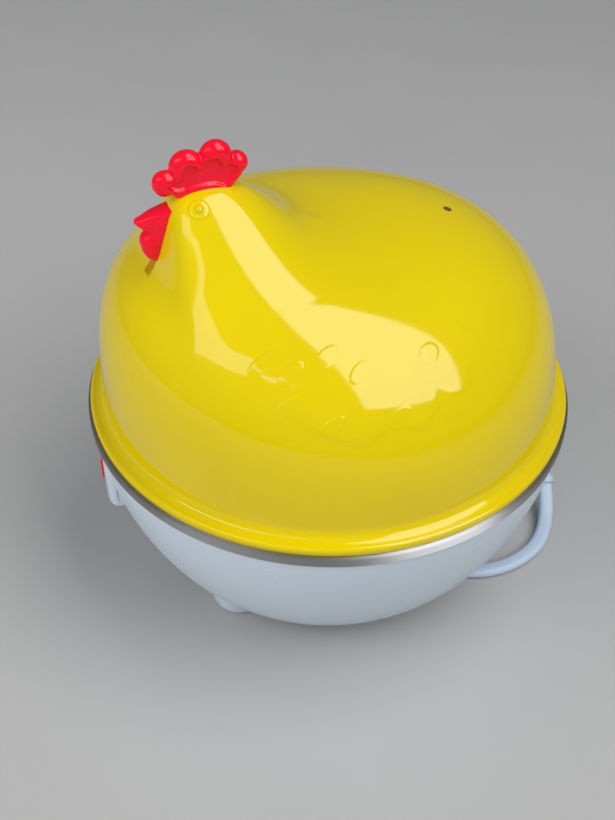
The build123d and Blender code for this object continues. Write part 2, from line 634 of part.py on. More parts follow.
def make_switch_body():
    """Snap-in body, open to the front, with the frame that is let into the housing's face."""
    half_w = SWITCH_W / 2
    half_h = SWITCH_H / 2
    body = block((-half_w, half_w), (BEZEL_BACK_Y, SWITCH_BACK_Y), (SWITCH_Z - half_h, SWITCH_Z + half_h))
    bezel = block((-BEZEL_W / 2, BEZEL_W / 2), (-HOUSING_FRONT, BEZEL_BACK_Y),
                  (SWITCH_Z - BEZEL_H / 2, SWITCH_Z + BEZEL_H / 2))
    body += fillet(bezel.faces().sort_by(Axis.Y)[0].edges(), BEZEL_T / 2)
    inner_w = half_w - SWITCH_WALL
    inner_h = half_h - SWITCH_WALL
    body -= block((-inner_w, inner_w), (-HOUSING_FRONT, SWITCH_BACK_Y - SWITCH_WALL),
                  (SWITCH_Z - inner_h, SWITCH_Z + inner_h))
    body -= Pos(0, PIVOT_Y, SWITCH_Z) * Cylinder(ROCKER_PIN_R + ROCKER_PIN_FIT, SWITCH_H)
    return body


def make_rocker():
    """Rocker with a shallow vee for a face, tipped so that its half towards +X stands out."""
    half = ROCKER_L / 2
    rise = ROCKER_FACE + half * tan(radians(ROCKER_TILT))
    plan = make_face(Polyline((rise, half), (ROCKER_FACE, 0), (rise, -half), (ROCKER_BACK, -half),
                              (-ROCKER_BACK, -ROCKER_HUB_R / 2), (-ROCKER_BACK, ROCKER_HUB_R / 2),
                              (ROCKER_BACK, half), close=True))
    plan += Circle(ROCKER_HUB_R)
    plane = Plane(origin=(0, 0, 0), x_dir=(0, -1, 0), z_dir=(0, 0, 1))
    rocker = extrude(plane * plan, ROCKER_H / 2, both=True)
    rocker += Cylinder(ROCKER_PIN_R, ROCKER_PIN_SPAN)
    return Pos(0, PIVOT_Y, SWITCH_Z) * Rot(0, 0, -ROCKER_TILT) * rocker


def make_switch_terminals():
    blades = []
    for x in (-BLADE_X, BLADE_X):
        blades.append(block((x - BLADE_W / 2, x + BLADE_W / 2), (SWITCH_BACK_Y, BLADE_END_Y),
                            (BLADE_Z - BLADE_T / 2, BLADE_Z + BLADE_T / 2)))
    return Compound(children=blades)


def make_heater_ring():
    """Element under the dish, an open ring with its gap to the front."""
    low = (HEATER_R - HEATER_W / 2, HEATER_Z)
    section = Plane.XZ * (Pos(*low) * Rectangle(HEATER_W, HEATER_H, align=(Align.MIN, Align.MIN)))
    ring = revolve(section, Axis.Z, 360 - HEATER_GAP)
    return Rot(0, 0, HEATER_GAP / 2 - 90) * ring


def pin_foot(side):
    """Lower end of one of the heater's two pins."""
    inset = degrees(2 * HEATER_PIN_R / HEATER_R)
    x, y = around(HEATER_R, side * (HEATER_GAP / 2 + inset))
    return x, y, HEATER_PIN_Z


def make_heater_pins():
    pins = [Pos(*pin_foot(side)) * standing(HEATER_PIN_R, HEATER_PIN_L) for side in (-1, 1)]
    return Compound(children=pins)


def make_heater_bracket():
    """Cross bar on the bowl's posts that draws the pan down."""
    half = BRACKET_L / 2
    bar = block((-half, half), (-BRACKET_W / 2, BRACKET_W / 2), (BRACKET_Z, BRACKET_TOP_Z))
    bar = fillet(bar.edges().filter_by(Axis.Z), BRACKET_W / 3)
    for x in (-BRACKET_POST_X, BRACKET_POST_X):
        bar -= Pos(x, 0, BRACKET_Z) * standing(SCREW_R + SCREW_GAP, BRACKET_T)
    return bar - Pos(0, 0, BRACKET_Z) * standing(STUD_R + SCREW_GAP, BRACKET_T)


def make_bracket_screws():
    screws = []
    for x in (-BRACKET_POST_X, BRACKET_POST_X):
        screws.append(Pos(x, 0, BRACKET_TOP_Z) * screw(BRACKET_T + SCREW_BITE - SCREW_GAP))
    return Compound(children=screws)


def make_heater_stud():
    return Pos(0, 0, STUD_END_Z) * standing(STUD_R, UNDER_DISH_Z - STUD_END_Z)


def make_heater_nut():
    nut = extrude(RegularPolygon(NUT_FLATS / 2, 6, major_radius=False), NUT_H)
    return Pos(0, 0, BRACKET_Z - NUT_H) * (nut - standing(STUD_R + SCREW_GAP, NUT_H))


def make_thermostat():
    """Round thermostat against the dish, with two blades pointing down."""
    body = Pos(THERMOSTAT_X, 0, THERMOSTAT_Z) * standing(THERMOSTAT_R, THERMOSTAT_H)
    for y in (-THERMOSTAT_BLADE_Y, THERMOSTAT_BLADE_Y):
        body += block((THERMOSTAT_X - BLADE_W / 2, THERMOSTAT_X + BLADE_W / 2),
                      (y - BLADE_T / 2, y + BLADE_T / 2), (THERMOSTAT_Z - THERMOSTAT_BLADE_L, THERMOSTAT_Z))
    return body


def make_thermostat_clip():
    """Sprung strip that stands on the bracket and presses the thermostat up."""
    near = THERMOSTAT_X - CLIP_REACH
    far = THERMOSTAT_X + CLIP_REACH
    top = THERMOSTAT_Z
    foot = BRACKET_TOP_Z
    side = Polyline((near, top), (far + CLIP_T, top), (far + CLIP_T, foot + CLIP_T),
                    (far + CLIP_FOOT, foot + CLIP_T), (far + CLIP_FOOT, foot), (far, foot),
                    (far, top - CLIP_T), (near, top - CLIP_T), close=True)
    return extrude(Plane.XZ * make_face(side), CLIP_W / 2, both=True)


def make_thermal_fuse():
    """One-shot fuse on its wire, inside the sleeve."""
    fuse = lying(FUSE_R, -FUSE_L / 2, FUSE_L / 2, FUSE_X, FUSE_Z)
    return fuse + lying(FUSE_WIRE_R, -SLEEVE_L / 2, SLEEVE_L / 2, FUSE_X, FUSE_Z)


def make_fuse_sleeve():
    """Insulating sleeve drawn in at both ends."""
    half = SLEEVE_L / 2
    sleeve = lying(SLEEVE_R, -half, half, FUSE_X, FUSE_Z)
    sleeve -= lying(SLEEVE_BORE_R, SLEEVE_END - half, half - SLEEVE_END, FUSE_X, FUSE_Z)
    return sleeve - lying(SLEEVE_MOUTH_R, -half, half, FUSE_X, FUSE_Z)


def make_live_lead():
    x = BOOT_X - CRIMP_SPACING / 2
    return lead((x, CRIMP_END_Y, BOOT_Z), (x, CRIMP_END_Y - LEAD_RUN, BOOT_Z), *LIVE_ROUTE,
                (-BLADE_X, BLADE_END_Y + LEAD_RUN, BLADE_Z), (-BLADE_X, BLADE_END_Y, BLADE_Z))


def make_switch_lead():
    y = -THERMOSTAT_BLADE_Y - BLADE_T / 2
    z = THERMOSTAT_Z - THERMOSTAT_BLADE_L / 2
    return lead((BLADE_X, BLADE_END_Y, BLADE_Z), (BLADE_X, BLADE_END_Y + LEAD_RUN, BLADE_Z), *SWITCH_ROUTE,
                (THERMOSTAT_X, y - LEAD_RUN, z), (THERMOSTAT_X, y, z))


def make_fuse_lead():
    y = THERMOSTAT_BLADE_Y + BLADE_T / 2
    z = THERMOSTAT_Z - THERMOSTAT_BLADE_L / 2
    half = SLEEVE_L / 2
    return lead((THERMOSTAT_X, y, z), (THERMOSTAT_X, y + LEAD_RUN, z), *FUSE_ROUTE,
                (FUSE_X, half + LEAD_RUN, FUSE_Z), (FUSE_X, half, FUSE_Z))


def make_heater_lead():
    x, y, z = pin_foot(1)
    half = SLEEVE_L / 2
    return lead((FUSE_X, -half, FUSE_Z), (FUSE_X, -half - LEAD_RUN, FUSE_Z), *HEATER_ROUTE,
                (x, y, z - LEAD_RUN), (x, y, z))


def make_neutral_lead():
    x, y, z = pin_foot(-1)
    start = BOOT_X + CRIMP_SPACING / 2
    return lead((start, CRIMP_END_Y, BOOT_Z), (start, CRIMP_END_Y - LEAD_RUN, BOOT_Z), *NEUTRAL_ROUTE,
                (x, y, z - LEAD_RUN), (x, y, z))


def make_crimp_caps():
    caps = []
    for x in (BOOT_X - CRIMP_SPACING / 2, BOOT_X + CRIMP_SPACING / 2):
        caps.append(lying(CRIMP_R, CRIMP_END_Y, TAIL_END_Y, x, BOOT_Z))
    return Compound(children=caps)


def make_cord_tail():
    """Cord inside the bowl, from the boot through the clamp to the crimp caps."""
    return flat_cord(Line((BOOT_X, BOOT_IN_Y, BOOT_Z), (BOOT_X, TAIL_END_Y, BOOT_Z)))


def make_cord_clamp():
    """Bar across the cord."""
    bar = block((BOOT_X - CLAMP_L / 2, BOOT_X + CLAMP_L / 2), (CLAMP_Y - CLAMP_W / 2, CLAMP_Y + CLAMP_W / 2),
                (CLAMP_Z, CLAMP_Z + CLAMP_T))
    bar = fillet(bar.edges().filter_by(Axis.Z), CLAMP_W / 3)
    for x in (BOOT_X - CLAMP_SPACING / 2, BOOT_X + CLAMP_SPACING / 2):
        bar -= Pos(x, CLAMP_Y, CLAMP_Z) * standing(SCREW_R + SCREW_GAP, CLAMP_T)
    return bar


def make_clamp_screws():
    screws = []
    for x in (BOOT_X - CLAMP_SPACING / 2, BOOT_X + CLAMP_SPACING / 2):
        screws.append(Pos(x, CLAMP_Y, CLAMP_Z + CLAMP_T) * screw(CLAMP_T + SCREW_BITE - SCREW_GAP))
    return Compound(children=screws)


def make_strain_relief():
    """Boot through the bowl's boss: neck, flange and a tapering sleeve that bends down to the cord."""
    boot = lying(BOOT_NECK_R - BOOT_NECK_GAP, BOOT_IN_Y, BOOT_SEAT_Y, BOOT_X, BOOT_Z)
    boot += lying(BOOT_FLANGE_R, BOOT_SEAT_Y, BOOT_OUT_Y, BOOT_X, BOOT_Z)
    end = Vector(*CORD_ROUTE[0])
    ahead = (Vector(*CORD_ROUTE[1]) - end).normalized()
    root = Vector(BOOT_X, BOOT_OUT_Y, BOOT_Z)
    path = Bezier(root, root + Vector(0, BOOT_LEAD, 0), end - ahead * BOOT_LEAD, end)
    sections = []
    for k in range(BOOT_SECTIONS):
        step = k / (BOOT_SECTIONS - 1)
        radius = BOOT_ROOT_R + (BOOT_END_R - BOOT_ROOT_R) * step
        sections.append(Plane(origin=path @ step, x_dir=(0, 0, 1), z_dir=path % step) * Circle(radius))
    return boot + loft(sections)


def make_power_cord():
    """Cord from the boot down to the floor, under the bowl and out to its coil."""
    radii = bend_radii(CORD_ROUTE)
    print("cord bend radii", [round(r) for r in radii])
    return flat_cord(FilletPolyline(*CORD_ROUTE, radius=radii))


def coil_path():
    """Flat coil in two layers: inward below, up a layer in the inmost half turn, outward above."""
    below = [COIL_OUT_R - k * COIL_PITCH / 2 for k in range(COIL_HALF_TURNS)]
    here = Vector(COIL_X, COIL_Y - COIL_OUT_R, COIL_Z)
    heading = -1
    edges = []
    for radius in below + [COIL_R] + below[::-1]:
        climb = COIL_TOP_Z - COIL_Z if radius == COIL_R else 0.0
        middle = here + Vector(heading * radius, -heading * radius, climb / 2)
        end = here + Vector(0, -2 * heading * radius, climb)
        edges.append(Edge.make_tangent_arc(here, (heading, 0, 0), middle))
        back = Edge.make_tangent_arc(end, (heading, 0, 0), middle)
        edges.append(Edge.make_three_point_arc(middle, back @ 0.5, end))
        here = end
        heading = -heading
    edges.append(Edge.make_line(here, here + Vector(heading * COIL_END, 0, 0)))
    return Wire(edges)


def print_coil_gap(path):
    """Print the least gap between places of the coil that are more than half a turn apart."""
    count = 900
    places = [path.position_at(k / count) for k in range(count + 1)]
    apart = int(count * pi * COIL_R / path.length)
    gap = 1e9
    for i, one in enumerate(places):
        for two in places[i + apart:]:
            level = abs(one.Z - two.Z)
            across = hypot(one.X - two.X, one.Y - two.Y)
            gap = min(gap, max(level - CORD_T, across - CORD_W))
    print("least gap inside the coil", round(gap, 2))


def make_cord_coil():
    path = coil_path()
    print_coil_gap(path)
    return flat_cord(path)


def make_cord_tie():
    """Band round the coil on the side near the bowl."""
    turns = [COIL_OUT_R - k * COIL_PITCH / 2 for k in range(COIL_HALF_TURNS)][1::2]
    aside = COIL_PITCH / 2 + TIE_W / 2
    bow = min(turns) - sqrt(min(turns) ** 2 - aside**2)
    low = COIL_X + min(turns) - bow - CORD_W / 2 - TIE_GAP
    high = COIL_X + max(turns) + CORD_W / 2 + TIE_GAP
    under = COIL_Z - CORD_T / 2
    over = COIL_TOP_Z + CORD_T / 2 + TIE_GAP
    band = (COIL_Y - TIE_W / 2, COIL_Y + TIE_W / 2)
    tie = block((low - TIE_T, high + TIE_T), band, (under - TIE_T, over + TIE_T))
    tie = fillet(tie.edges().filter_by(Axis.Y), TIE_T)
    return tie - block((low, high), band, (under, over))


def plug_place():
    """Where the coil's end enters the plug, lying on the floor and pointing along +X."""
    return Pos(COIL_X + COIL_END, COIL_Y + COIL_OUT_R, 0)


def make_plug_body():
    """Flat two-pin plug, narrow where the cord enters."""
    half = PLUG_W / 2
    tail = PLUG_TAIL_W / 2
    plan = make_face(Polyline((0, -tail), (PLUG_TAIL_L, -half), (PLUG_L, -half), (PLUG_L, half),
                              (PLUG_TAIL_L, half), (0, tail), close=True))
    body = extrude(plan, PLUG_H)
    body = fillet(body.edges().filter_by(Axis.Z).sort_by(Axis.X)[2:4], PLUG_ROUND)
    level = body.edges().group_by(Axis.Z)
    return plug_place() * fillet(level[0] + level[-1], PLUG_ROUND)


def make_plug_pins():
    pins = []
    for y in (-PIN_SPACING / 2, PIN_SPACING / 2):
        pin = fillet(standing(PIN_R, PIN_L).edges().sort_by(Axis.Z)[-1], PIN_ROUND)
        pins.append(plug_place() * Pos(PLUG_L, y, PLUG_H / 2) * Rot(0, 90, 0) * pin)
    return Compound(children=pins)


def make_parts():
    """Every piece by its name."""
    body = hen_solid()
    bowl = bowl_form(0.0, SHELL_TOP_Z)
    parts = {
        "lid_shell": on_lid(make_lid_shell(body)),
        "comb": on_lid(make_comb(body)),
        "beak": on_lid(make_beak(body)),
        "egg_rack": make_egg_rack(),
        "heating_pan": make_heating_pan(),
        "pan_gasket": make_pan_gasket(),
        "heater_ring": make_heater_ring(),
        "heater_pins": make_heater_pins(),
        "heater_stud": make_heater_stud(),
        "heater_nut": make_heater_nut(),
        "heater_bracket": make_heater_bracket(),
        "bracket_screws": make_bracket_screws(),
        "thermostat": make_thermostat(),
        "thermostat_clip": make_thermostat_clip(),
        "thermal_fuse": make_thermal_fuse(),
        "fuse_sleeve": make_fuse_sleeve(),
        "base_shell": make_base_shell(),
        "switch_body": make_switch_body(),
        "rocker": make_rocker(),
        "switch_terminals": make_switch_terminals(),
        "live_lead": make_live_lead(),
        "switch_lead": make_switch_lead(),
        "fuse_lead": make_fuse_lead(),
        "heater_lead": make_heater_lead(),
        "neutral_lead": make_neutral_lead(),
        "crimp_caps": make_crimp_caps(),
        "cord_tail": make_cord_tail(),
        "cord_clamp": make_cord_clamp(),
        "clamp_screws": make_clamp_screws(),
        "bottom_cover": make_bottom_cover(),
        "cover_screws": make_cover_screws(),
        "strain_relief": make_strain_relief(),
        "power_cord": make_power_cord(),
        "cord_coil": make_cord_coil(),
        "cord_tie": make_cord_tie(),
        "plug_body": make_plug_body(),
        "plug_pins": make_plug_pins(),
    }
    for name, angle in FOOT_ANGLES.items():
        parts[name] = make_foot(angle, bowl)
    return parts


if __name__ == "__main__":
    os.makedirs("parts", exist_ok=True)
    for name, piece in make_parts().items():
        box = piece.bounding_box()
        print(name, len(piece.solids()), round(piece.volume), piece.is_valid,
              [round(v, 1) for v in box.min], [round(v, 1) for v in box.max])
        export_step(piece, f"parts/{name}.step")
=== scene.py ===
# %% [markdown]
# # An electric egg cooker with a hen-shaped lid
# A white bowl holds the heater and a shallow steel dish. Eggs stand in a tray over a little water, and a tall
# lid, moulded as a sitting hen, keeps the steam in. The solids of the frame give every size. The cells below
# dress them one piece at a time: first the camera and the cord, then the finishes, then the mouldings.

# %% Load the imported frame
import math
import bmesh
import bpy
from mathutils import Matrix, Quaternion, Vector


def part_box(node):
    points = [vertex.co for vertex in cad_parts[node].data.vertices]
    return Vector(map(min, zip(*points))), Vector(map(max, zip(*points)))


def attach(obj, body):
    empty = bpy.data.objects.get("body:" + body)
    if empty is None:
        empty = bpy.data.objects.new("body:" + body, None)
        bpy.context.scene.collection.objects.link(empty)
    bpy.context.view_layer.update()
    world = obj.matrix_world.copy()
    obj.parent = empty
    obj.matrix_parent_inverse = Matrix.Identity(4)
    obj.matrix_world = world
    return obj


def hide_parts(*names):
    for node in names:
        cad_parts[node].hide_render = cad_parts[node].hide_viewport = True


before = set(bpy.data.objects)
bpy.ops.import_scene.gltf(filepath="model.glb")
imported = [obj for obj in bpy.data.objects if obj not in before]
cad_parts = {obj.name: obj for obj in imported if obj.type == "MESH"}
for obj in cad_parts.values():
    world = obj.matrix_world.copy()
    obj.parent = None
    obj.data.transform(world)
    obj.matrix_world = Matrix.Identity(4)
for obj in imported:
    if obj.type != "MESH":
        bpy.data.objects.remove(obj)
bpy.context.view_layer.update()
MM = 0.001

# %% [markdown]
# ## The camera
# The object is seen from above the hen's left flank. A camera can be aimed by a constraint or by its own
# turn. Its own turn is used here, made from the line of sight, because it is then plain to read and to
# change. The small roll levels the rim of the bowl.

# %% Camera
CAMERA_PLACE = (0.3183, -0.0809, 0.3495)
LINE_OF_SIGHT = Vector((-0.7281, 0.1681, -0.6646))
ROLL = math.radians(0.59)
SENSOR, FOCAL_PIXELS, PICTURE_PIXELS = 36.0, 1200, 820

camera_data = bpy.data.cameras.new("camera")
camera_data.sensor_width = SENSOR
camera_data.lens = SENSOR * FOCAL_PIXELS / PICTURE_PIXELS
camera = bpy.data.objects.new("camera", camera_data)
camera.location = CAMERA_PLACE
camera_turn = LINE_OF_SIGHT.to_track_quat("-Z", "Y") @ Quaternion((0, 0, 1), ROLL)
camera.rotation_euler = camera_turn.to_euler()
bpy.context.collection.objects.link(camera)
bpy.context.scene.camera = camera
bpy.context.scene.view_settings.view_transform = "Standard"
print("camera lens:", round(camera_data.lens, 2), "mm")

# %% [markdown]
# ## The cord's line
# The cord is a flat two-core lead. It leaves the back of the bowl, drops to the floor in a loose loop, runs
# under the bowl, and the rest is wound up behind it. A mesh tube would need its own sections. A curve needs
# only its line: the route's points are the control points of one smooth spline, and each half turn of the
# coil adds eight more. The tilt of a quarter turn lays the flat side down, and each point's radius turns the
# section, drawn in millimetres, to metres.

# %% Points of the cord
CORD_W, CORD_T = 5.6, 3.6
ROUTE = [(4.1, 88.3, 14.3), (6.5, 88, 12.5), (12, 87.4, 8.4), (19, 85.5, 4.7), (25.9, 82.3, 2.9),
         (33.2, 76.6, 2.1), (38.5, 68, 2), (41.3, 58.3, 2), (40.7, 48, 2), (37, 38, 2), (31.4, 26.8, 2),
         (22.6, 16.2, 2), (9.8, 7.9, 2), (-6, 2.3, 2), (-25, -1.5, 2), (-44, -3, 2), (-66, -2, 2.2),
         (-90, 0.2, 2.6), (-112, 1.6, 2.9), (-128, 1.6, 2.9)]
COIL_X, COIL_FLOOR_Z, COIL_UPPER_Z = -134, 2.9, 7.1
HALF_TURNS = [38.4, 35.3, 32.2, 29.1, 26.0, 29.1, 32.2, 35.3, 38.4]
STEPS = 8
LAST_X = (-124, -106)

cord_points = [Vector(p) for p in ROUTE]
turn_start, heading = ROUTE[-1][1], -1
for count, radius in enumerate(HALF_TURNS):
    middle_y = turn_start - heading * radius
    for step in range(STEPS):
        share = (step + 0.5) / STEPS
        layer = count + share - HALF_TURNS.index(min(HALF_TURNS))
        height = COIL_FLOOR_Z + (COIL_UPPER_Z - COIL_FLOOR_Z) * min(max(layer, 0), 1)
        reach = radius / math.cos(math.pi / STEPS / 2)
        x = COIL_X + heading * reach * math.sin(share * math.pi)
        y = middle_y + heading * reach * math.cos(share * math.pi)
        cord_points.append(Vector((x, y, height)))
    turn_start -= 2 * heading * radius
    heading = -heading
cord_points += [Vector((x, turn_start, COIL_UPPER_Z)) for x in LAST_X]
print("cord:", len(cord_points), "control points, ends at y", round(turn_start, 1))

# %% The cord as one flat curve
cord_curve = bpy.data.curves.new("flat_cord", "CURVE")
cord_curve.dimensions = "3D"
cord_curve.twist_mode = "Z_UP"
cord_curve.fill_mode = "FULL"
cord_curve.bevel_depth = CORD_T / 2
cord_curve.extrude = (CORD_W - CORD_T) / 2
cord_curve.bevel_resolution = 4
cord_curve.resolution_u = 5
spline = cord_curve.splines.new("NURBS")
spline.points.add(len(cord_points) - 1)
for point, place in zip(spline.points, cord_points):
    point.co = (*(place * MM), 1)
    point.radius = MM
    point.tilt = math.pi / 2
spline.order_u = 3
spline.use_endpoint_u = True
flat_cord = bpy.data.objects.new("flat_cord", cord_curve)
bpy.context.collection.objects.link(flat_cord)
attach(flat_cord, "base")
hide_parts("power_cord", "cord_coil")
print("cord length:", round(spline.calc_length(), 4), "m")

# %% [markdown]
# ## Sums on sockets
# A finish is a small net of nodes. Wiring every node by hand hides what it works out. The class below wraps
# one socket, so that a sum of two sockets writes its own Math node, and one method makes any other node.

# %% Sockets that can be reckoned with
class Socket:
    """One output socket of a material's nodes."""

    def __init__(self, tree, out):
        self.tree = tree
        self.out = out

    def node(self, kind, settings=None, sockets=None, out=0):
        """A new node of a kind, with its settings made first and its sockets filled or linked after."""
        made = self.tree.nodes.new("ShaderNode" + kind)
        for name, value in (settings or {}).items():
            setattr(made, name, value)
        for name, value in (sockets or {}).items():
            if isinstance(value, Socket):
                self.tree.links.new(value.out, made.inputs[name])
            else:
                made.inputs[name].default_value = value
        return Socket(self.tree, made.outputs[out]) if made.outputs else None

    def maths(self, operation, first, second):
        return self.node("Math", {"operation": operation}, {0: first, 1: second})

    def __add__(self, other):
        return self.maths("ADD", self, other)

    __radd__ = __add__

    def __sub__(self, other):
        return self.maths("SUBTRACT", self, other)

    def __rsub__(self, other):
        return self.maths("SUBTRACT", other, self)

    def __mul__(self, other):
        return self.maths("MULTIPLY", self, other)

    __rmul__ = __mul__

    def __pow__(self, other):
        return self.maths("POWER", self, other)

    def __rpow__(self, other):
        return self.maths("POWER", other, self)


def finish(name):
    """A new empty material, and the Object coordinates that its nodes start from."""
    material = bpy.data.materials.new(name)
    material.use_nodes = True
    tree = material.node_tree
    tree.nodes.clear()
    return material, Socket(tree, tree.nodes.new("ShaderNodeTexCoord").outputs["Object"])


def noise(where, scale, detail=2.0):
    return where.node("TexNoise", {}, {"Vector": where, "Scale": scale, "Detail": detail})


def blend(factor, first, second):
    return factor.node("Mix", {"data_type": "RGBA"}, {0: factor, 6: (*first, 1), 7: (*second, 1)}, out=2)


def bump(height, strength, distance, under=None):
    sockets = {"Height": height, "Strength": strength, "Distance": distance * MM}
    return height.node("Bump", {}, sockets | ({"Normal": under} if under else {}))


def surface(where, sockets):
    shader = where.node("BsdfPrincipled", {}, sockets)
    where.node("OutputMaterial", {}, {"Surface": shader})


print("socket sums ready")

# %% [markdown]
# ## Moulded plastics
# The lid is a bright yellow moulding with a polished skin, the comb and beak are red, and the bowl is a satin
# white. Polished plastic isn't perfectly even: its colour drifts a little with the wall, its skin has a fine
# ripple, and hands leave duller patches. Three noises at three scales give that, and the shader's own gloss
# does the rest.

# %% Plastic finishes
DRIFT_SCALE, PATCH_SCALE, RIPPLE_H, MARK_H = 24.0, 70.0, 0.1, 0.2


def moulded(name, deep, light, gloss, dull, ripple, ripple_scale=420.0, shine=0.5, marks=None):
    """A plastic of two close tones, with its least and most roughness and the ripple of its skin."""
    material, where = finish(name)
    drift = noise(where, DRIFT_SCALE)
    patches = noise(where, PATCH_SCALE, 4.0)
    normal = bump(noise(where, ripple_scale, 1.0), ripple, RIPPLE_H)
    if marks:
        normal = bump(marks(where), 1.0, MARK_H, normal)
    surface(where, {"Base Color": blend(drift, deep, light), "Roughness": gloss + (dull - gloss) * patches,
                    "Specular IOR Level": shine, "Normal": normal})
    return material


comb_red = moulded("comb_red", (0.86, 0.002, 0.022), (0.94, 0.004, 0.034), 0.10, 0.20, 0.03, 420.0, 0.38)
bowl_white = moulded("bowl_white", (0.54, 0.62, 0.705), (0.58, 0.66, 0.745), 0.22, 0.30, 0.01, 160.0, 0.4)
cord_white = moulded("cord_white", (0.46, 0.57, 0.72), (0.52, 0.63, 0.77), 0.34, 0.46, 0.10, 900.0, 0.4)
tray_clear = moulded("tray_clear", (0.70, 0.74, 0.77), (0.80, 0.83, 0.86), 0.16, 0.30, 0.06)
switch_black = moulded("switch_black", (0.014, 0.014, 0.016), (0.026, 0.026, 0.029), 0.28, 0.42, 0.10, 1400.0)
# Painted shade: a near black for the steam vent's disc, standing for the dark inside of the hole.
vent_painted_shade = moulded("vent_painted_shade", (0.10, 0.07, 0.002), (0.16, 0.11, 0.004), 0.35, 0.5, 0.05)
# Painted shade: a darker gold for the strip at the end of the beak's slot, standing for the slot's shaded
# hollow.
slot_painted_shade = moulded("slot_painted_shade", (0.72, 0.46, 0.0), (0.80, 0.52, 0.0), 0.4, 0.55, 0.05, 420.0, 0.2)
print("plastics:", [m.name for m in bpy.data.materials][-7:])

# %% [markdown]
# ## Spun and drawn metals
# The dish is spun from thin stainless sheet, so its brush lines run round the axis. Noise that is read by the
# distance from the axis and by the height, and not by the angle, is the same all the way round, which is just
# what a spun surface shows. Plain cast or plated metals only need a clouded tone and a fine grain.

# %% Metal finishes
BRUSH_SCALE, BRUSH_SHARE, BRUSH_H, STAIN_SCALE = 2600.0, 0.6, 0.03, 60.0
CLOUD_SCALE, SPECK_H = 90.0, 0.05


def spun_metal(name, deep, light, gloss, dull):
    """A metal of two tones, with brush lines round the upright axis."""
    material, where = finish(name)
    parts = where.node("SeparateXYZ", {}, {0: where})
    across = Socket(where.tree, parts.out.node.outputs["Y"])
    height = Socket(where.tree, parts.out.node.outputs["Z"])
    radius = (parts * parts + across * across) ** 0.5
    ring = where.node("CombineXYZ", {}, {"X": radius, "Y": height, "Z": 0.0})
    lines = noise(ring, BRUSH_SCALE, 3.0)
    stains = noise(where, STAIN_SCALE, 4.0)
    wear = BRUSH_SHARE * lines + (1 - BRUSH_SHARE) * stains
    surface(where, {"Base Color": blend(lines, deep, light), "Metallic": 1.0, "Anisotropic": 1.0,
                    "Anisotropic Rotation": 0.25, "Normal": bump(lines, 0.25, BRUSH_H),
                    "Roughness": gloss + (dull - gloss) * wear})
    return material


def cast_metal(name, deep, light, gloss, dull, grain=700.0):
    """A metal of two clouded tones, with a fine grain."""
    material, where = finish(name)
    cloud = noise(where, CLOUD_SCALE, 4.0)
    speck = noise(where, grain, 2.0)
    surface(where, {"Base Color": blend(cloud, deep, light), "Metallic": 1.0,
                    "Roughness": gloss + (dull - gloss) * speck, "Normal": bump(speck, 0.15, SPECK_H)})
    return material


pan_steel = spun_metal("pan_steel", (0.55, 0.55, 0.56), (0.78, 0.78, 0.79), 0.44, 0.62)
heater_alloy = cast_metal("heater_alloy", (0.40, 0.40, 0.41), (0.52, 0.52, 0.53), 0.40, 0.60)
screw_zinc = cast_metal("screw_zinc", (0.48, 0.49, 0.50), (0.62, 0.62, 0.60), 0.25, 0.42)
pin_brass = cast_metal("pin_brass", (0.66, 0.60, 0.46), (0.78, 0.72, 0.58), 0.16, 0.30)
print("metals:", [m.name for m in bpy.data.materials][-4:])

# %% [markdown]
# ## Rubber, sleeving and leads
# These are seen only when the lid is off or the base is opened. They are matt, and each has the grain of its
# own making: a pressed skin on the gasket, and a braid of fine glass thread on the fuse's sleeve.

# %% Soft finishes
MOTTLE_SCALE, SKIN_H = 110.0, 0.08


def matt(name, deep, light, gloss, dull, grain, lift):
    """A soft matt skin of two mottled tones, with the scale and the strength of its grain."""
    material, where = finish(name)
    mottle = noise(where, MOTTLE_SCALE, 3.0)
    skin = noise(where, grain, 2.0)
    surface(where, {"Base Color": blend(mottle, deep, light), "Roughness": gloss + (dull - gloss) * skin,
                    "Normal": bump(skin, lift, SKIN_H)})
    return material


gasket_grey = matt("gasket_grey", (0.42, 0.43, 0.44), (0.52, 0.53, 0.54), 0.50, 0.68, 800.0, 0.20)
sleeve_braid = matt("sleeve_braid", (0.62, 0.58, 0.48), (0.76, 0.73, 0.64), 0.60, 0.80, 1500.0, 0.50)
lead_brown = matt("lead_brown", (0.13, 0.045, 0.016), (0.18, 0.065, 0.026), 0.36, 0.50, 900.0, 0.12)
lead_blue = matt("lead_blue", (0.014, 0.07, 0.28), (0.022, 0.10, 0.36), 0.36, 0.50, 900.0, 0.12)
print("soft finishes:", [m.name for m in bpy.data.materials][-4:])

# %% [markdown]
# ## Floor and light
# A wide pale floor, an even grey surround, one large soft lamp over the hen's tail side and one narrow soft
# lamp over its beak. The lamps are rectangles, because a glossy moulding shows their edges as sharp streaks:
# the broad one runs down from the neck on to the wing, the narrow one down the breast. Two fills light the
# shaded sides evenly and stay out of the reflections.

# %% Stage
FLOOR_HALF, FLOOR_GRAIN = 4.0, 14.0
SURROUND, SURROUND_LEVEL = (0.96, 0.98, 1.0, 1), 0.14

floor_pale, floor_where = finish("floor_pale")
floor_grain = noise(floor_where, FLOOR_GRAIN, 5.0)
surface(floor_where, {"Base Color": blend(floor_grain, (0.43, 0.43, 0.43), (0.465, 0.465, 0.465)),
                      "Roughness": 0.75 + 0.1 * floor_grain})
floor_mesh = bmesh.new()
bmesh.ops.create_grid(floor_mesh, x_segments=1, y_segments=1, size=FLOOR_HALF)
floor_data = bpy.data.meshes.new("floor")
floor_mesh.to_mesh(floor_data)
floor_mesh.free()
floor_data.materials.append(floor_pale)
floor = bpy.data.objects.new("floor", floor_data)
bpy.context.collection.objects.link(floor)

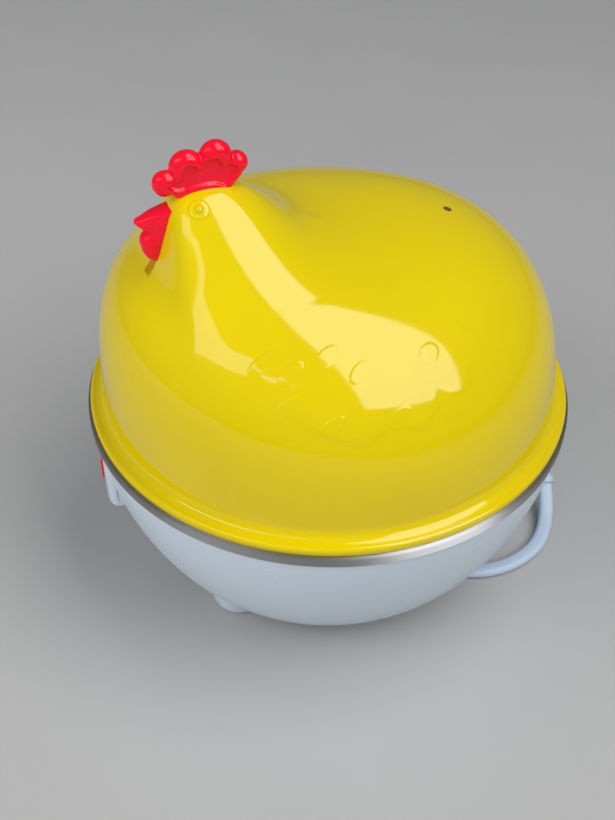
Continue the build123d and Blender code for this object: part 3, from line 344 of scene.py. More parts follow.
world = bpy.data.worlds.new("surround")
world.use_nodes = True
background = world.node_tree.nodes["Background"]
background.inputs["Color"].default_value = SURROUND
background.inputs["Strength"].default_value = SURROUND_LEVEL
bpy.context.scene.world = world
print("floor half width:", FLOOR_HALF, "m, level of the surround:", SURROUND_LEVEL)

# %% Lamps
def softbox(name, place, facing, across, width, height, level):
    """A rectangular lamp with its back to a direction; its level is the brightness of its face."""
    lamp = bpy.data.lights.new(name, "AREA")
    lamp.shape = "RECTANGLE"
    lamp.size = width
    lamp.size_y = height
    lamp.energy = level * math.pi * width * height
    holder = bpy.data.objects.new(name, lamp)
    holder.location = place
    facing, across = Vector(facing).normalized(), Vector(across).normalized()
    holder.rotation_euler = Matrix((across, facing.cross(across), facing)).transposed().to_euler()
    bpy.context.collection.objects.link(holder)
    return holder


NARROW_FACING, NARROW_ACROSS = (0.705, -0.704, 0.089), (0.606, 0.663, 0.441)
softbox("broad_lamp", (0.243, 0.449, 1.317), (0.444, 0.802, 0.401), (-0.683, 0.592, -0.428), 0.76, 1.8, 4.0)
softbox("narrow_lamp", (0.397, -1.028, 1.223), NARROW_FACING, NARROW_ACROSS, 0.985, 0.56, 2.3)
softbox("narrow_end", (0.918, -0.488, 1.364), NARROW_FACING, NARROW_ACROSS, 0.485, 0.15, 2.3)
fill_lamps = [softbox("right_fill", (1.15, -0.30, 0.50), (1.15, -0.30, 0.40), (0.30, 1.15, 0), 0.9, 0.9, 1.2),
              softbox("left_fill", (0.20, -1.20, 0.50), (0.20, -1.20, 0.40), (1.20, 0.20, 0), 1.2, 1.2, 2.0)]
for lamp in fill_lamps:
    lamp.visible_glossy = False
print("lamps:", len(bpy.data.lights))

# %% [markdown]
# ## From a bmesh to a piece
# Every moulding ends the same way: its bmesh becomes a mesh, flat faces and round ones are told apart by the
# angle between them, and it gets a finish and a body to ride on, and the solids that it stands for are
# hidden.

# %% Making a piece
def piece(name, bm, material, body, nodes=(), sharp=40):
    """The object made of a bmesh; edges over the sharp angle, in degrees, stay sharp."""
    mesh = bpy.data.meshes.new(name)
    bm.to_mesh(mesh)
    bm.free()
    mesh.shade_smooth()
    mesh.set_sharp_from_angle(angle=math.radians(sharp))
    mesh.materials.append(material)
    made = bpy.data.objects.new(name, mesh)
    bpy.context.collection.objects.link(made)
    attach(made, body)
    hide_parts(*nodes)
    print(name, "faces:", len(mesh.polygons))
    return made


print("pieces can be made")

# %% [markdown]
# ## Turned, drawn out and rounded
# Most pieces here are turned about an axis, or are a flat view drawn out to a thickness. Their points could
# all be typed, but an operator makes them from the one line or view that a drawing would show. These helpers
# name the operators that the cells below repeat.

# %% Helpers for shapes
def new_verts(geom):
    return [g for g in geom if isinstance(g, bmesh.types.BMVert)]


def open_edges(geom):
    return [g for g in geom if isinstance(g, bmesh.types.BMEdge) and g.is_boundary]


def rounded(bm, edges, offset, segments):
    bmesh.ops.bevel(bm, geom=edges, offset=offset * MM, segments=segments, profile=0.5, affect="EDGES",
                    material=-1)
    return bm


def drawn_out(corners, rise):
    """A flat face through corners, drawn out along a line, all in mm."""
    bm = bmesh.new()
    flat = bm.faces.new([bm.verts.new([c * MM for c in corner]) for corner in corners])
    grown = bmesh.ops.extrude_face_region(bm, geom=[flat])["geom"]
    bmesh.ops.translate(bm, vec=[c * MM for c in rise], verts=new_verts(grown))
    bmesh.ops.recalc_face_normals(bm, faces=bm.faces)
    return bm


def next_ring(bm, rim, place):
    """Extrudes an open rim, sets its new points by a function, in mm, and gives the new rim."""
    made = bmesh.ops.extrude_edge_only(bm, edges=rim)["geom"]
    for vert in new_verts(made):
        vert.co = place(vert.co) * MM
    return open_edges(made)


def spun(line, steps=128):
    """The line of (radius, height, rounding) points, in mm, turned about the upright axis."""
    bm = bmesh.new()
    verts = [bm.verts.new((radius * MM, 0, height * MM)) for radius, height, rounding in line]
    for first, second in zip(verts, verts[1:]):
        bm.edges.new((first, second))
    for vert, (radius, height, rounding) in zip(verts, line):
        if rounding:
            bmesh.ops.bevel(bm, geom=[vert], offset=rounding * MM, segments=max(4, round(rounding)),
                            profile=0.5, affect="VERTICES", material=-1)
    bmesh.ops.spin(bm, geom=bm.verts[:] + bm.edges[:], cent=(0, 0, 0), axis=(0, 0, 1), angle=math.tau,
                   steps=steps, use_merge=True)
    bmesh.ops.remove_doubles(bm, verts=bm.verts, dist=1e-6)
    bmesh.ops.recalc_face_normals(bm, faces=bm.faces)
    return bm


def join(target, extra, matrix=Matrix.Identity(4)):
    """Adds a second bmesh to the first, moved by a matrix."""
    bmesh.ops.transform(extra, matrix=matrix, verts=extra.verts)
    mesh = bpy.data.meshes.new("join")
    extra.to_mesh(mesh)
    extra.free()
    target.from_mesh(mesh)
    bpy.data.meshes.remove(mesh)
    return target


print("helpers ready")

# %% [markdown]
# ## The hen's form
# The lid is a rounded dome, squarer at the chest than at the tail, and the head rises out of its front. It
# could be sculpted, but a formula keeps to the solid's form: for each direction round the hen and each climb
# from the flange to the crown, a reach and a height. A dome is spun first, and the formula then moves it.

# %% The hen as a formula
SEAT_Z, LID_R, DOME_H, LID_WALL = 72.0, 79.0, 66.7, 2.2
LID_ANGLE = math.radians(7)
LID_TURN = Matrix.Rotation(LID_ANGLE, 4, "Z")
SQUARENESS, MORE_IN_FRONT, MORE_AT_ENDS = 3.03, 0.57, 0.41
HEAD_H, HEAD_W, NAPE_AT, NAPE_EASE, FACE_AT, FACE_EASE = 24.1, 15.7, 20.5, 12.6, 56.0, 3.8
HALVINGS = 40


def dome_power(angle):
    return SQUARENESS + MORE_IN_FRONT * math.cos(angle) + MORE_AT_ENDS * math.cos(2 * angle)


def low_climb(angle, start, inset):
    """The climb at which the dome has a height of start."""
    return math.asin((start / (DOME_H - inset)) ** (dome_power(angle) / 2))


def hen_point(angle, climb, inset=0.0):
    """A point of the hen, in mm, before the lid is turned: the beak looks along -Y."""
    power = dome_power(angle)
    reach = (LID_R - inset) * max(math.cos(climb), 0.0) ** (2 / power)
    height = (DOME_H - inset) * max(math.sin(climb), 0.0) ** (2 / power)
    forward = reach * math.cos(angle)
    side = reach * math.sin(angle)
    rise = math.tanh((forward - NAPE_AT) / NAPE_EASE) - math.tanh((forward - FACE_AT + inset) / FACE_EASE)
    head = HEAD_H * rise / 2 * math.exp(-((side / HEAD_W) ** 2) / 2)
    return Vector((side, -forward, SEAT_Z + height + head))


print("crown of the hen:", [round(c, 1) for c in hen_point(0, math.radians(75))])

# %% [markdown]
# ## The wing
# The wing is a low raised field on each flank, with a scalloped edge. It is about a quarter of a millimetre
# high, and shows by how it bends a reflection. It could be carved, but an outline is easier to change: it is
# drawn in two measures, millimetres forward and degrees of climb, which are about equal on the flank, and a
# point's distance from that outline gives its height. Towards its top the wing fades into the back.

# %% The wing's relief
WING = [(38, 58), (31.6, 63.8), (23.4, 68), (14.2, 69.2), (7.5, 67.8), (1.2, 65.8), (-11.3, 59.9),
        (-20.3, 54.8), (-26.3, 48.5), (-29.5, 43), (-27, 41), (-22.5, 41.5), (-21.5, 36.5), (-18.5, 33.8),
        (-13, 34.5), (-9.5, 37.5), (-8, 32), (-3, 28.5), (3, 29.5), (7, 34), (9, 29.5), (15, 26), (22, 26.5),
        (30, 29), (37, 34.5), (41.5, 41), (43, 48), (41.5, 54)]
WING_BACK, WING_FRONT, WING_LOW, WING_HIGH = -36, 50, 18, 76
WING_LIFT, WING_EDGE = 0.24, 2.6
WING_FADE, FADE_FROM, FADE_OVER = 0.75, 48, 14


def eased(share):
    share = min(max(share, 0.0), 1.0)
    return share * share * (3 - 2 * share)


def depth_in(outline, across, up):
    """Distance from a point to a closed outline, above zero inside it."""
    nearest, inside = 1e9, False
    for (a0, b0), (a1, b1) in zip(outline, outline[1:] + outline[:1]):
        da, db = a1 - a0, b1 - b0
        along = min(max(((across - a0) * da + (up - b0) * db) / (da * da + db * db), 0.0), 1.0)
        nearest = min(nearest, math.hypot(across - a0 - along * da, up - b0 - along * db))
        if (b0 > up) != (b1 > up) and across < a0 + (up - b0) / db * da:
            inside = not inside
    return nearest if inside else -nearest


def relief(forward, climb):
    """Height of the wing at a place on the flank, in mm."""
    if not (WING_BACK < forward < WING_FRONT and WING_LOW < climb < WING_HIGH):
        return 0.0
    lift = WING_LIFT * eased(depth_in(WING, forward, climb) / WING_EDGE + 0.5)
    return lift * (1 - WING_FADE * eased((climb - FADE_FROM) / FADE_OVER))


print("wing points:", len(WING))

# %% [markdown]
# ## Feather marks
# Small leaning ovals on the wing stand for feathers. They are only a fifth of a millimetre high, finer than
# the lid's faces, so the lid's finish raises them: each is a middle and two axes on the flank, and a point's
# distance along both axes tells where in the oval it is. The coordinates are turned back with the lid and
# folded at its middle plane, so that one set serves both flanks.

# %% Feather marks in the lid's finish
FEATHERS = [(39.7, 47.1), (33, 45.4), (21.3, 51.7), (12.5, 47), (-9.8, 48), (35.9, 34.5), (24.4, 30.5),
            (3.9, 32.5)]
FEATHER_LONG, FEATHER_WIDE, FEATHER_LEAN = 4.3, 2.8, math.radians(38)
FEATHER_OUT, FEATHER_IN, FEATHER_MIDDLE, FEATHER_SLANT = 1.05, 0.8, 0.6, 0.4


def flank_at(forward, climb):
    """The point of the flank at a place forward, in mm, and a climb, in degrees."""
    low, high = 0.0, math.pi
    for _ in range(HALVINGS):
        angle = (low + high) / 2
        low, high = (angle, high) if -hen_point(angle, math.radians(climb)).y > forward else (low, angle)
    return hen_point(angle, math.radians(climb))


def feather_marks(where):
    turned = where.node("VectorRotate", {"rotation_type": "Z_AXIS"}, {"Vector": where, "Angle": -LID_ANGLE})
    parts = turned.node("SeparateXYZ", {}, {0: turned})
    y, z = (Socket(where.tree, parts.out.node.outputs[name]) for name in "YZ")
    folded = parts.node("CombineXYZ", {}, {"X": parts.maths("ABSOLUTE", parts, 0.0), "Y": y, "Z": z})
    height = 0.0
    for forward, climb in FEATHERS:
        middle = flank_at(forward, climb)
        ahead = (flank_at(forward + 1, climb) - middle).normalized()
        up = (flank_at(forward, climb + 1) - middle).normalized()
        long_axis = (up * math.sin(FEATHER_LEAN) - ahead * math.cos(FEATHER_LEAN)) / (FEATHER_LONG * MM)
        wide_axis = (up * math.cos(FEATHER_LEAN) + ahead * math.sin(FEATHER_LEAN)) / (FEATHER_WIDE * MM)
        offset = folded.node("VectorMath", {"operation": "SUBTRACT"}, {0: folded, 1: middle * MM})
        along = offset.node("VectorMath", {"operation": "DOT_PRODUCT"}, {0: offset, 1: long_axis}, out=1)
        across = offset.node("VectorMath", {"operation": "DOT_PRODUCT"}, {0: offset, 1: wide_axis}, out=1)
        away = (along * along + across * across) ** 0.5
        inside = away.node("MapRange", {"interpolation_type": "SMOOTHSTEP"},
                           {"Value": away, "From Min": FEATHER_OUT, "From Max": FEATHER_IN})
        height = inside * (FEATHER_MIDDLE + FEATHER_SLANT * across) + height
    return height


lid_yellow = moulded("lid_yellow", (0.70, 0.535, 0.0), (0.76, 0.59, 0.0), 0.05, 0.10, 0.03, 160.0, 0.48,
                     feather_marks)
print("feathers:", len(FEATHERS))

# %% [markdown]
# ## The lid
# The lid could be two skins joined at their edges. It is made as one: a vertex is spun into a quarter arc,
# and the arc into a dome, whose sectors are gathered on the flanks, where the wing needs them. After the
# formula has moved it, the open edge is extruded again and again: out over the fillet, round the flange,
# under it, down and up the lip that finds the pan, and back inside to the crown. So the lid is one closed
# shell with a real wall.

# %% Lid's outer skin
LID_RINGS, LID_SECTORS, INNER_RINGS = 150, 384, 60
WALL_START, INNER_START, GATHERED, FLANK = 6.6, 2.4, 0.25, 0.85
lid = bmesh.new()
start = lid.verts.new((1, 0, 0))
bmesh.ops.spin(lid, geom=[start], cent=(0, 0, 0), axis=(0, -1, 0), angle=math.pi / 2, steps=LID_RINGS)
bmesh.ops.spin(lid, geom=lid.verts[:] + lid.edges[:], cent=(0, 0, 0), axis=(0, 0, 1), angle=math.tau,
               steps=LID_SECTORS, use_merge=True)
bmesh.ops.remove_doubles(lid, verts=lid.verts, dist=1e-5)
lifts = {}
for vert in lid.verts:
    turn = math.atan2(vert.co.x, -vert.co.y)
    angle = turn + GATHERED * math.sin(2 * turn)
    low = low_climb(angle, WALL_START, 0.0)
    climb = low + (math.pi / 2 - low) * math.asin(min(vert.co.z, 1.0)) / (math.pi / 2)
    vert.co = hen_point(angle, climb) * MM
    if abs(math.cos(angle)) < FLANK:
        lifts[vert] = relief(-vert.co.y / MM, math.degrees(climb))
bmesh.ops.recalc_face_normals(lid, faces=lid.faces)
lid.normal_update()
outward = {vert: vert.normal.copy() for vert in lifts}
for vert, lift in lifts.items():
    vert.co += outward[vert] * lift * MM
print("points of the outer skin:", len(lid.verts), "raised:", sum(lift > 0 for lift in lifts.values()))

# %% Lid's flange and inner skin
def arc(radius, height, rounding, directions):
    """Points (radius, height) of a rounding about a middle, in mm, at directions in degrees."""
    turns = [math.radians(direction) for direction in directions]
    return [(radius + rounding * math.cos(turn), height + rounding * math.sin(turn)) for turn in turns]


def circled(co, radius, height):
    """The point at a radius and a height that lies in the direction of another."""
    return Vector((co.x, co.y, 0)).normalized() * radius + Vector((0, 0, height))


def inner_point(co, share):
    """The point of the inner skin in a direction, a share of the way up."""
    angle = math.atan2(co.x, -co.y)
    low = low_climb(angle, INNER_START, LID_WALL)
    return hen_point(angle, low + (math.pi / 2 - low) * share, LID_WALL)


FILLET = arc(82.6, 78.6, 3.6, range(195, 271, 15))
BRIM = arc(82.8, 73.8, 1.2, (90, 67, 45, 22, 0))
UNDERSIDE = [(84, 72.4), (83.6, 72), (77.2, 72), (77, 71.8), (77, 69.4), (76.6, 69), (75.4, 69), (75, 69.4),
             (75, 73.2), (75.3, 73.5), (76.6, 73.5)]
rim = open_edges(lid.edges)
for radius, height in FILLET + BRIM + UNDERSIDE:
    rim = next_ring(lid, rim, lambda co: circled(co, radius, height))
for ring in range(INNER_RINGS + 1):
    rim = next_ring(lid, rim, lambda co: inner_point(co, ring / INNER_RINGS))
bmesh.ops.remove_doubles(lid, verts=lid.verts, dist=2e-6)
bmesh.ops.recalc_face_normals(lid, faces=lid.faces)
bmesh.ops.transform(lid, matrix=LID_TURN, verts=lid.verts)
piece("hen_lid", lid, lid_yellow, "lid", ["lid_shell"], sharp=60)

# %% [markdown]
# ## Eyes, vent and the beak's slot
# Each eye is a raised ring with a pupil. The steam vent behind the crown is a dark disc laid just over the
# skin, painted shade that stands for the dark inside of its hole, and below the wattle the end of the beak's
# slot is a strip painted a darker gold, painted shade that stands for the slot's hollow. They could be cut
# into the lid's own mesh. Small turned forms and a strip, set square to the hen's skin where they sit, keep
# that mesh even.

# %% Places on the hen's skin
NUDGE, FACE_REACH = 0.2, 60


def skin_at(forward, side):
    """Place and outward turn of the hen's skin over a point seen from above."""
    def over(u, v):
        reach, angle = math.hypot(u, v), math.atan2(v, u)
        climb = math.acos((reach / LID_R) ** (dome_power(angle) / 2))
        return hen_point(angle, climb)
    middle = over(forward, side)
    along, across = over(forward + NUDGE, side) - middle, over(forward, side + NUDGE) - middle
    normal = across.cross(along)
    normal = normal if normal.z > 0 else -normal
    return LID_TURN @ Matrix.LocRotScale(middle * MM, normal.to_track_quat("Z", "Y"), None)


def face_at(height, side):
    """Place on the hen's face at a height above the seat, close to the middle plane."""
    low, high = 0.3, 1.5
    for _ in range(HALVINGS):
        climb = (low + high) / 2
        here = hen_point(side / FACE_REACH, climb)
        low, high = (climb, high) if here.z - SEAT_Z < height else (low, climb)
    return here


print("face below the wattle:", [round(c, 1) for c in face_at(62, 0)])

# %% Eyes, vent and slot
EYE = [(0, 1.5, 0), (0.95, 1.25, 0.5), (1.55, 0.4, 0.25), (2.3, 0.34, 0.5), (3.0, 0.12, 0.5), (3.5, -0.4, 0)]
EYE_FORWARD, EYE_SIDE = 45.6, 8.2
VENT = [(0, 0.05, 0), (1.5, 0.05, 0), (1.55, -0.6, 0)]
VENT_BACK = 41
eyes = bmesh.new()
for side in (-EYE_SIDE, EYE_SIDE):
    join(eyes, spun(EYE, 48), skin_at(EYE_FORWARD, side))
piece("eyes", eyes, lid_yellow, "lid")
# The vent is a dark disc just over the skin, not a cut hole: its colour is painted shade.
piece("vent", join(bmesh.new(), spun(VENT, 32), skin_at(-VENT_BACK, 0)), vent_painted_shade, "lid")

SLOT_HALF, SLOT_LOW, SLOT_HIGH, SLOT_STEPS = 2.2, 60.6, 70.0, 12
SLOT_PROUD = 0.06
# The strip's darker gold is painted shade for the hollow of the beak's slot.
slot_shade_strip = bmesh.new()
bmesh.ops.create_grid(slot_shade_strip, x_segments=2, y_segments=SLOT_STEPS, size=1)
for vert in slot_shade_strip.verts:
    height = SLOT_LOW + (SLOT_HIGH - SLOT_LOW) * (vert.co.y + 1) / 2
    vert.co = (face_at(height, SLOT_HALF * vert.co.x) - Vector((0, SLOT_PROUD, 0))) * MM
# The strip is a doubled sheet without thickness. Its two layers shade each other, so it shows darker.
bmesh.ops.solidify(slot_shade_strip, geom=slot_shade_strip.faces[:], thickness=0)
bmesh.ops.recalc_face_normals(slot_shade_strip, faces=slot_shade_strip.faces)
bmesh.ops.transform(slot_shade_strip, matrix=LID_TURN, verts=slot_shade_strip.verts)
piece("beak_slot_painted_shade", slot_shade_strip, slot_painted_shade, "lid")

# %% [markdown]
# ## The comb
# A red moulding with four round lobes, a thick rounded rim and a panel with a wavy top sunk into each side.
# It could be one outline with a bevel, but a bevel breaks up in the sharp notches between the lobes. Four
# turned buttons and a foot that overlap are simpler: a voxel remesh melts them into one skin, a little
# smoothing gives the soft edges of a moulding, and the points inside the panel's outline are then pressed in.

# %% Side views of the comb
LOBES = [(53.4, 91.0, 4.1), (46.6, 95.2, 5.5), (37.6, 97.4, 5.1), (31.2, 94.2, 3.6)]
COMB_FOOT = [(53.4, 91), (46.6, 95.2), (37.6, 97.4), (31.2, 94.2), (29.2, 91.4), (33.1, 87.4), (36.6, 82),
             (47.5, 82), (49.6, 85.6), (51.4, 86.9)]
PANEL = [(53, 90.6), (52.1, 91.5), (49.8, 91.7), (48.8, 92.4), (48.3, 95.6), (47.6, 96.6), (46.2, 97),
         (44.6, 96.2), (43.5, 94.9), (42.7, 94.9), (42, 95.9), (40.8, 97.5), (39.2, 97.8), (37.5, 97.4),
         (36.7, 96.1), (36, 94.7), (35.1, 94.2), (33.9, 94.6), (32.2, 94.6), (31.3, 93.5), (35.3, 88.1),
         (38.6, 89.6), (41, 89.8), (43.3, 89.7), (46.2, 89.5), (48.1, 89.3), (50.2, 89.3), (52, 89.9)]
COMB_T, COMB_ROUND, FOOT_T, FOOT_ROUND, PANEL_T, PANEL_EDGE = 6.4, 3.1, 5.6, 1.6, 3.4, 1.1
VOXEL = 0.25
COMB_SMOOTHING, PANEL_SMOOTHING, BEAK_SMOOTHING = 6, 1, 16


def slab(outline, thickness):
    """A side view, in mm, given a thickness across the hen."""
    return drawn_out([(-thickness / 2, -u, SEAT_Z + z) for u, z in outline], (thickness, 0, 0))


def button(forward, height, radius, thickness, rounding):
    """A turned button that lies across the hen."""
    half = thickness / 2
    bm = spun([(0, -half, 0), (radius, -half, rounding), (radius, half, rounding), (0, half, 0)], 64)
    place = Matrix.Translation((0, -forward * MM, (SEAT_Z + height) * MM))
    bmesh.ops.transform(bm, matrix=place @ Matrix.Rotation(math.pi / 2, 4, "Y"), verts=bm.verts)
    return bm


print("lobes:", len(LOBES), "points of the panel:", len(PANEL))

# %% Comb
def melted(bm):
    """The overlapping parts of a bmesh as one skin."""
    mesh = bpy.data.meshes.new("melt")
    bm.to_mesh(mesh)
    bm.free()
    holder = bpy.data.objects.new("melt", mesh)
    bpy.context.collection.objects.link(holder)
    remesh = holder.modifiers.new("melt", "REMESH")
    remesh.mode = "VOXEL"
    remesh.voxel_size = VOXEL * MM
    skin = bpy.data.meshes.new_from_object(holder.evaluated_get(bpy.context.evaluated_depsgraph_get()))
    bpy.data.objects.remove(holder)
    whole = bmesh.new()
    whole.from_mesh(skin)
    return whole


def softened(bm, rounds):
    """The skin smoothed a number of times."""
    for _ in range(rounds):
        bmesh.ops.smooth_vert(bm, verts=bm.verts, factor=0.5, use_axis_x=True, use_axis_y=True,
                              use_axis_z=True)
    return bm


comb = slab(COMB_FOOT, FOOT_T)
rounded(comb, comb.edges[:], FOOT_ROUND, 4)
for lobe in LOBES:
    join(comb, button(*lobe, COMB_T, COMB_ROUND))
comb = softened(melted(comb), COMB_SMOOTHING)
for vert in comb.verts:
    sunk = eased(depth_in(PANEL, -vert.co.y / MM, vert.co.z / MM - SEAT_Z) / PANEL_EDGE + 0.5)
    over = max(abs(vert.co.x) - PANEL_T / 2 * MM, 0)
    vert.co.x -= math.copysign(over * sunk, vert.co.x)
softened(comb, PANEL_SMOOTHING)
bmesh.ops.transform(comb, matrix=LID_TURN, verts=comb.verts)
piece("comb_moulding", comb, comb_red, "lid", ["comb"], sharp=80)

# %% [markdown]
# ## Beak and wattle
# The beak is a small red pyramid, broad at the face and narrow at its tip, and the wattle hangs under it as a
# flat drop. A cone and a ball would be too round for them, so both side views are drawn as faces and given
# their width by an extrusion. The beak is narrowed towards its tip, and a voxel remesh melts the two into one
# soft moulding, as for the comb.

# %% Beak
BEAK_SIDE = [(49, 83.4), (52.6, 83.2), (58.4, 82.2), (63.8, 80.4), (64.2, 79.2), (59.7, 75.2), (57.5, 72),
             (49, 68)]
WATTLE = [(62.9, 71.6), (62.3, 73.6), (61.2, 75), (59.8, 75.4), (57, 75), (53, 73), (53, 67), (57.4, 65.2),
          (60.3, 66.3), (62, 68.3)]
BEAK_ROOT, BEAK_TIP, BEAK_ROOT_W, BEAK_TIP_W, BEAK_ROUND = 52.0, 63.9, 9.4, 3.4, 1.6
WATTLE_T, WATTLE_ROUND = 6.4, 1.8
beak = slab(BEAK_SIDE, BEAK_ROOT_W)
for vert in beak.verts:
    share = min(max((-vert.co.y / MM - BEAK_ROOT) / (BEAK_TIP - BEAK_ROOT), 0.0), 1.0)
    vert.co.x *= 1 + (BEAK_TIP_W / BEAK_ROOT_W - 1) * share
rounded(beak, beak.edges[:], BEAK_ROUND, 5)
wattle = slab(WATTLE, WATTLE_T)
rounded(wattle, wattle.edges[:], WATTLE_ROUND, 5)
beak = softened(melted(join(beak, wattle)), BEAK_SMOOTHING)
bmesh.ops.transform(beak, matrix=LID_TURN, verts=beak.verts)
piece("beak_moulding", beak, comb_red, "lid", ["beak"], sharp=80)

# %% [markdown]
# ## The steel pan
# The pan is drawn from one sheet: its rim turns down over the bowl as the bright band, a ledge carries the
# egg tray, and the floor of the dish lies on the heater. It could be pressed out of a disc face by face. A
# turned line with small rounded corners gives the whole of it, as the press does.

# %% Pan
PAN = [(85, 68.5, 0), (85, 72, 0.7), (77.5, 72, 0.7), (77.5, 64, 0.9), (69, 64, 0.9), (62, 52, 2.5),
       (0, 52, 0), (0, 51.2, 0), (62.45, 51.2, 2.2), (69.45, 63.2, 0.6), (78.3, 63.2, 0.3),
       (78.3, 71.2, 0.3), (84.2, 71.2, 0.3), (84.2, 68.5, 0), (85, 68.5, 0)]
piece("steel_pan", spun(PAN, 256), pan_steel, "base", ["heating_pan"], sharp=50)

# %% [markdown]
# ## The bowl
# A thin-walled white bowl, closed below by a cover, with a block on its front for the switch and a boss at
# its back for the cord. The bowl is turned. The block is a cube with its front edges rounded and its back
# sloped to clear the pan, and the opening for the switch is an inset of its front face that is pushed in.
# A boolean could cut the turned wall where the switch goes through it. Four cutting planes do it without
# touching the rest of the wall: the faces between them are taken out, and the window's edge gets a lip.

# %% Switch housing
HOUSING_X, HOUSING_Y, HOUSING_Z, HOUSING_TOP_Y = (-18.5, 18.5), (-82.6, -70.0), (43.4, 68.2), -80.0
HOUSING_ROUND, HOUSING_PIT = 3.5, (11.1, 5.4, 12)
SWITCH_Z = 52.4


def block(*sides):
    """A box between its sides along x, y and z, in mm."""
    bm = bmesh.new()
    bmesh.ops.create_cube(bm, size=1)
    bmesh.ops.scale(bm, vec=[(high - low) * MM for low, high in sides], verts=bm.verts)
    bmesh.ops.translate(bm, vec=[(low + high) / 2 * MM for low, high in sides], verts=bm.verts)
    return bm


def front_of(bm):
    return min(bm.faces, key=lambda face: face.calc_center_median().y)


def pressed(bm, half_w, half_h, depth):
    """A rectangular pit in the front face, round the switch's middle."""
    face = front_of(bm)
    bmesh.ops.inset_region(bm, faces=[face], thickness=0.5 * MM)
    for vert in face.verts:
        vert.co.x = math.copysign(half_w * MM, vert.co.x)
        vert.co.z = (SWITCH_Z + math.copysign(half_h, vert.co.z - SWITCH_Z * MM)) * MM
    pit = bmesh.ops.extrude_discrete_faces(bm, faces=[face])["faces"][0]
    bmesh.ops.translate(bm, vec=(0, depth * MM, 0), verts=pit.verts)
    return bm


housing = block(HOUSING_X, HOUSING_Y, HOUSING_Z)
for vert in housing.verts:
    if vert.co.z > sum(HOUSING_Z) / 2 * MM and vert.co.y > sum(HOUSING_Y) / 2 * MM:
        vert.co.y = HOUSING_TOP_Y * MM
rounded(housing, front_of(housing).edges[:], HOUSING_ROUND, 8)
pressed(housing, *HOUSING_PIT)
print("housing faces:", len(housing.faces))

# %% Bowl with its window and boss
BOWL = [(84, 70, 0), (84, 38.05, 31.9), (59.63, 8, 5.6), (37.3, 8, 0.3), (37.3, 10.4, 0), (27, 10.4, 0),
        (27, 13, 0), (39, 13, 0), (39, 10.4, 0), (58.5, 10.4, 4.5), (81.6, 38.9, 31), (81.6, 70, 0),
        (84, 70, 0)]
WINDOW_HALF, WINDOW_LOW, WINDOW_HIGH, WINDOW_Y = 12.1, 45.9, 58.9, -60
WINDOW_PLANES = [((-WINDOW_HALF, 0, 0), (1, 0, 0)), ((WINDOW_HALF, 0, 0), (1, 0, 0)),
                 ((0, 0, WINDOW_LOW), (0, 0, 1)), ((0, 0, WINDOW_HIGH), (0, 0, 1))]
LIP_Y, LIP_DEPTH = -81.5, 1.2
BOSS = [(0, -10, 0), (8, -10, 0), (8, 0, 0.8), (0, 0, 0)]
BOSS_PLACE = Matrix.Translation((-0.002, 0.0764, 0.027)) @ Matrix.Rotation(-math.pi / 2, 4, "X")


def in_window(face):
    x, y, z = face.calc_center_median() / MM
    return y < WINDOW_Y and abs(x) < WINDOW_HALF and WINDOW_LOW < z < WINDOW_HIGH


bowl = spun(BOWL, 192)
for place, across in WINDOW_PLANES:
    front = [face for face in bowl.faces if face.calc_center_median().y < WINDOW_Y * MM]
    near = front + [edge for face in front for edge in face.edges] + [v for face in front for v in face.verts]
    bmesh.ops.bisect_plane(bowl, geom=list(dict.fromkeys(near)), plane_co=Vector(place) * MM, plane_no=across)
bmesh.ops.delete(bowl, geom=[face for face in bowl.faces if in_window(face)], context="FACES")
lip = [edge for edge in open_edges(bowl.edges) if edge.verts[0].co.y < LIP_Y * MM]
lip = bmesh.ops.extrude_edge_only(bowl, edges=lip)["geom"]
bmesh.ops.translate(bowl, vec=(0, LIP_DEPTH * MM, 0), verts=new_verts(lip))
join(join(bowl, housing), spun(BOSS, 64), BOSS_PLACE)
piece("bowl_moulding", bowl, bowl_white, "base", ["base_shell"])

# %% [markdown]
# ## Feet
# Four short round feet under the bowl, a little wider at the top than at the floor. A scaled cylinder would
# lack the rounded edge, so each foot is turned from its own line and moved to its place.

# %% Feet
FOOT_CIRCLE_R = 49.5
FOOT_ANGLES = {"front_left": 38, "front_right": -38, "rear_left": 152, "rear_right": -152}
FOOT = [(0, 0, 0), (10.4, 0, 1.8), (11.8, 12, 0), (0, 12, 0)]
for name, angle in FOOT_ANGLES.items():
    foot = spun(FOOT, 64)
    place = FOOT_CIRCLE_R * MM * Vector((math.sin(math.radians(angle)), -math.cos(math.radians(angle)), 0))
    bmesh.ops.translate(foot, vec=place, verts=foot.verts)
    piece("foot_" + name + "_moulding", foot, bowl_white, "base", ["foot_" + name])

# %% [markdown]
# ## Switch
# A bought-in rocker switch: a white frame let into the housing's face and a red rocker whose half on the
# hen's left stands out. The frame is a box whose front is inset and pushed in, with its back left open for
# the rocker. The rocker could be two tilted boxes. One plan, a shallow vee, drawn out to its height and
# rounded, has no seam in the middle.

# %% Switch frame and rocker
BEZEL_X, BEZEL_Y, BEZEL_Z = (-12, 12), (-82.7, -81.8), (46, 58.8)
BEZEL_ROUND, BEZEL_PIT = 0.35, (9.8, 4.4, 10)
bezel = block(BEZEL_X, BEZEL_Y, BEZEL_Z)
rounded(bezel, front_of(bezel).edges[:], BEZEL_ROUND, 4)
back = max(bezel.faces, key=lambda face: face.calc_center_median().y)
bmesh.ops.delete(bezel, geom=[back], context="FACES_ONLY")
piece("switch_frame", pressed(bezel, *BEZEL_PIT), bowl_white, "base", ["switch_body"])

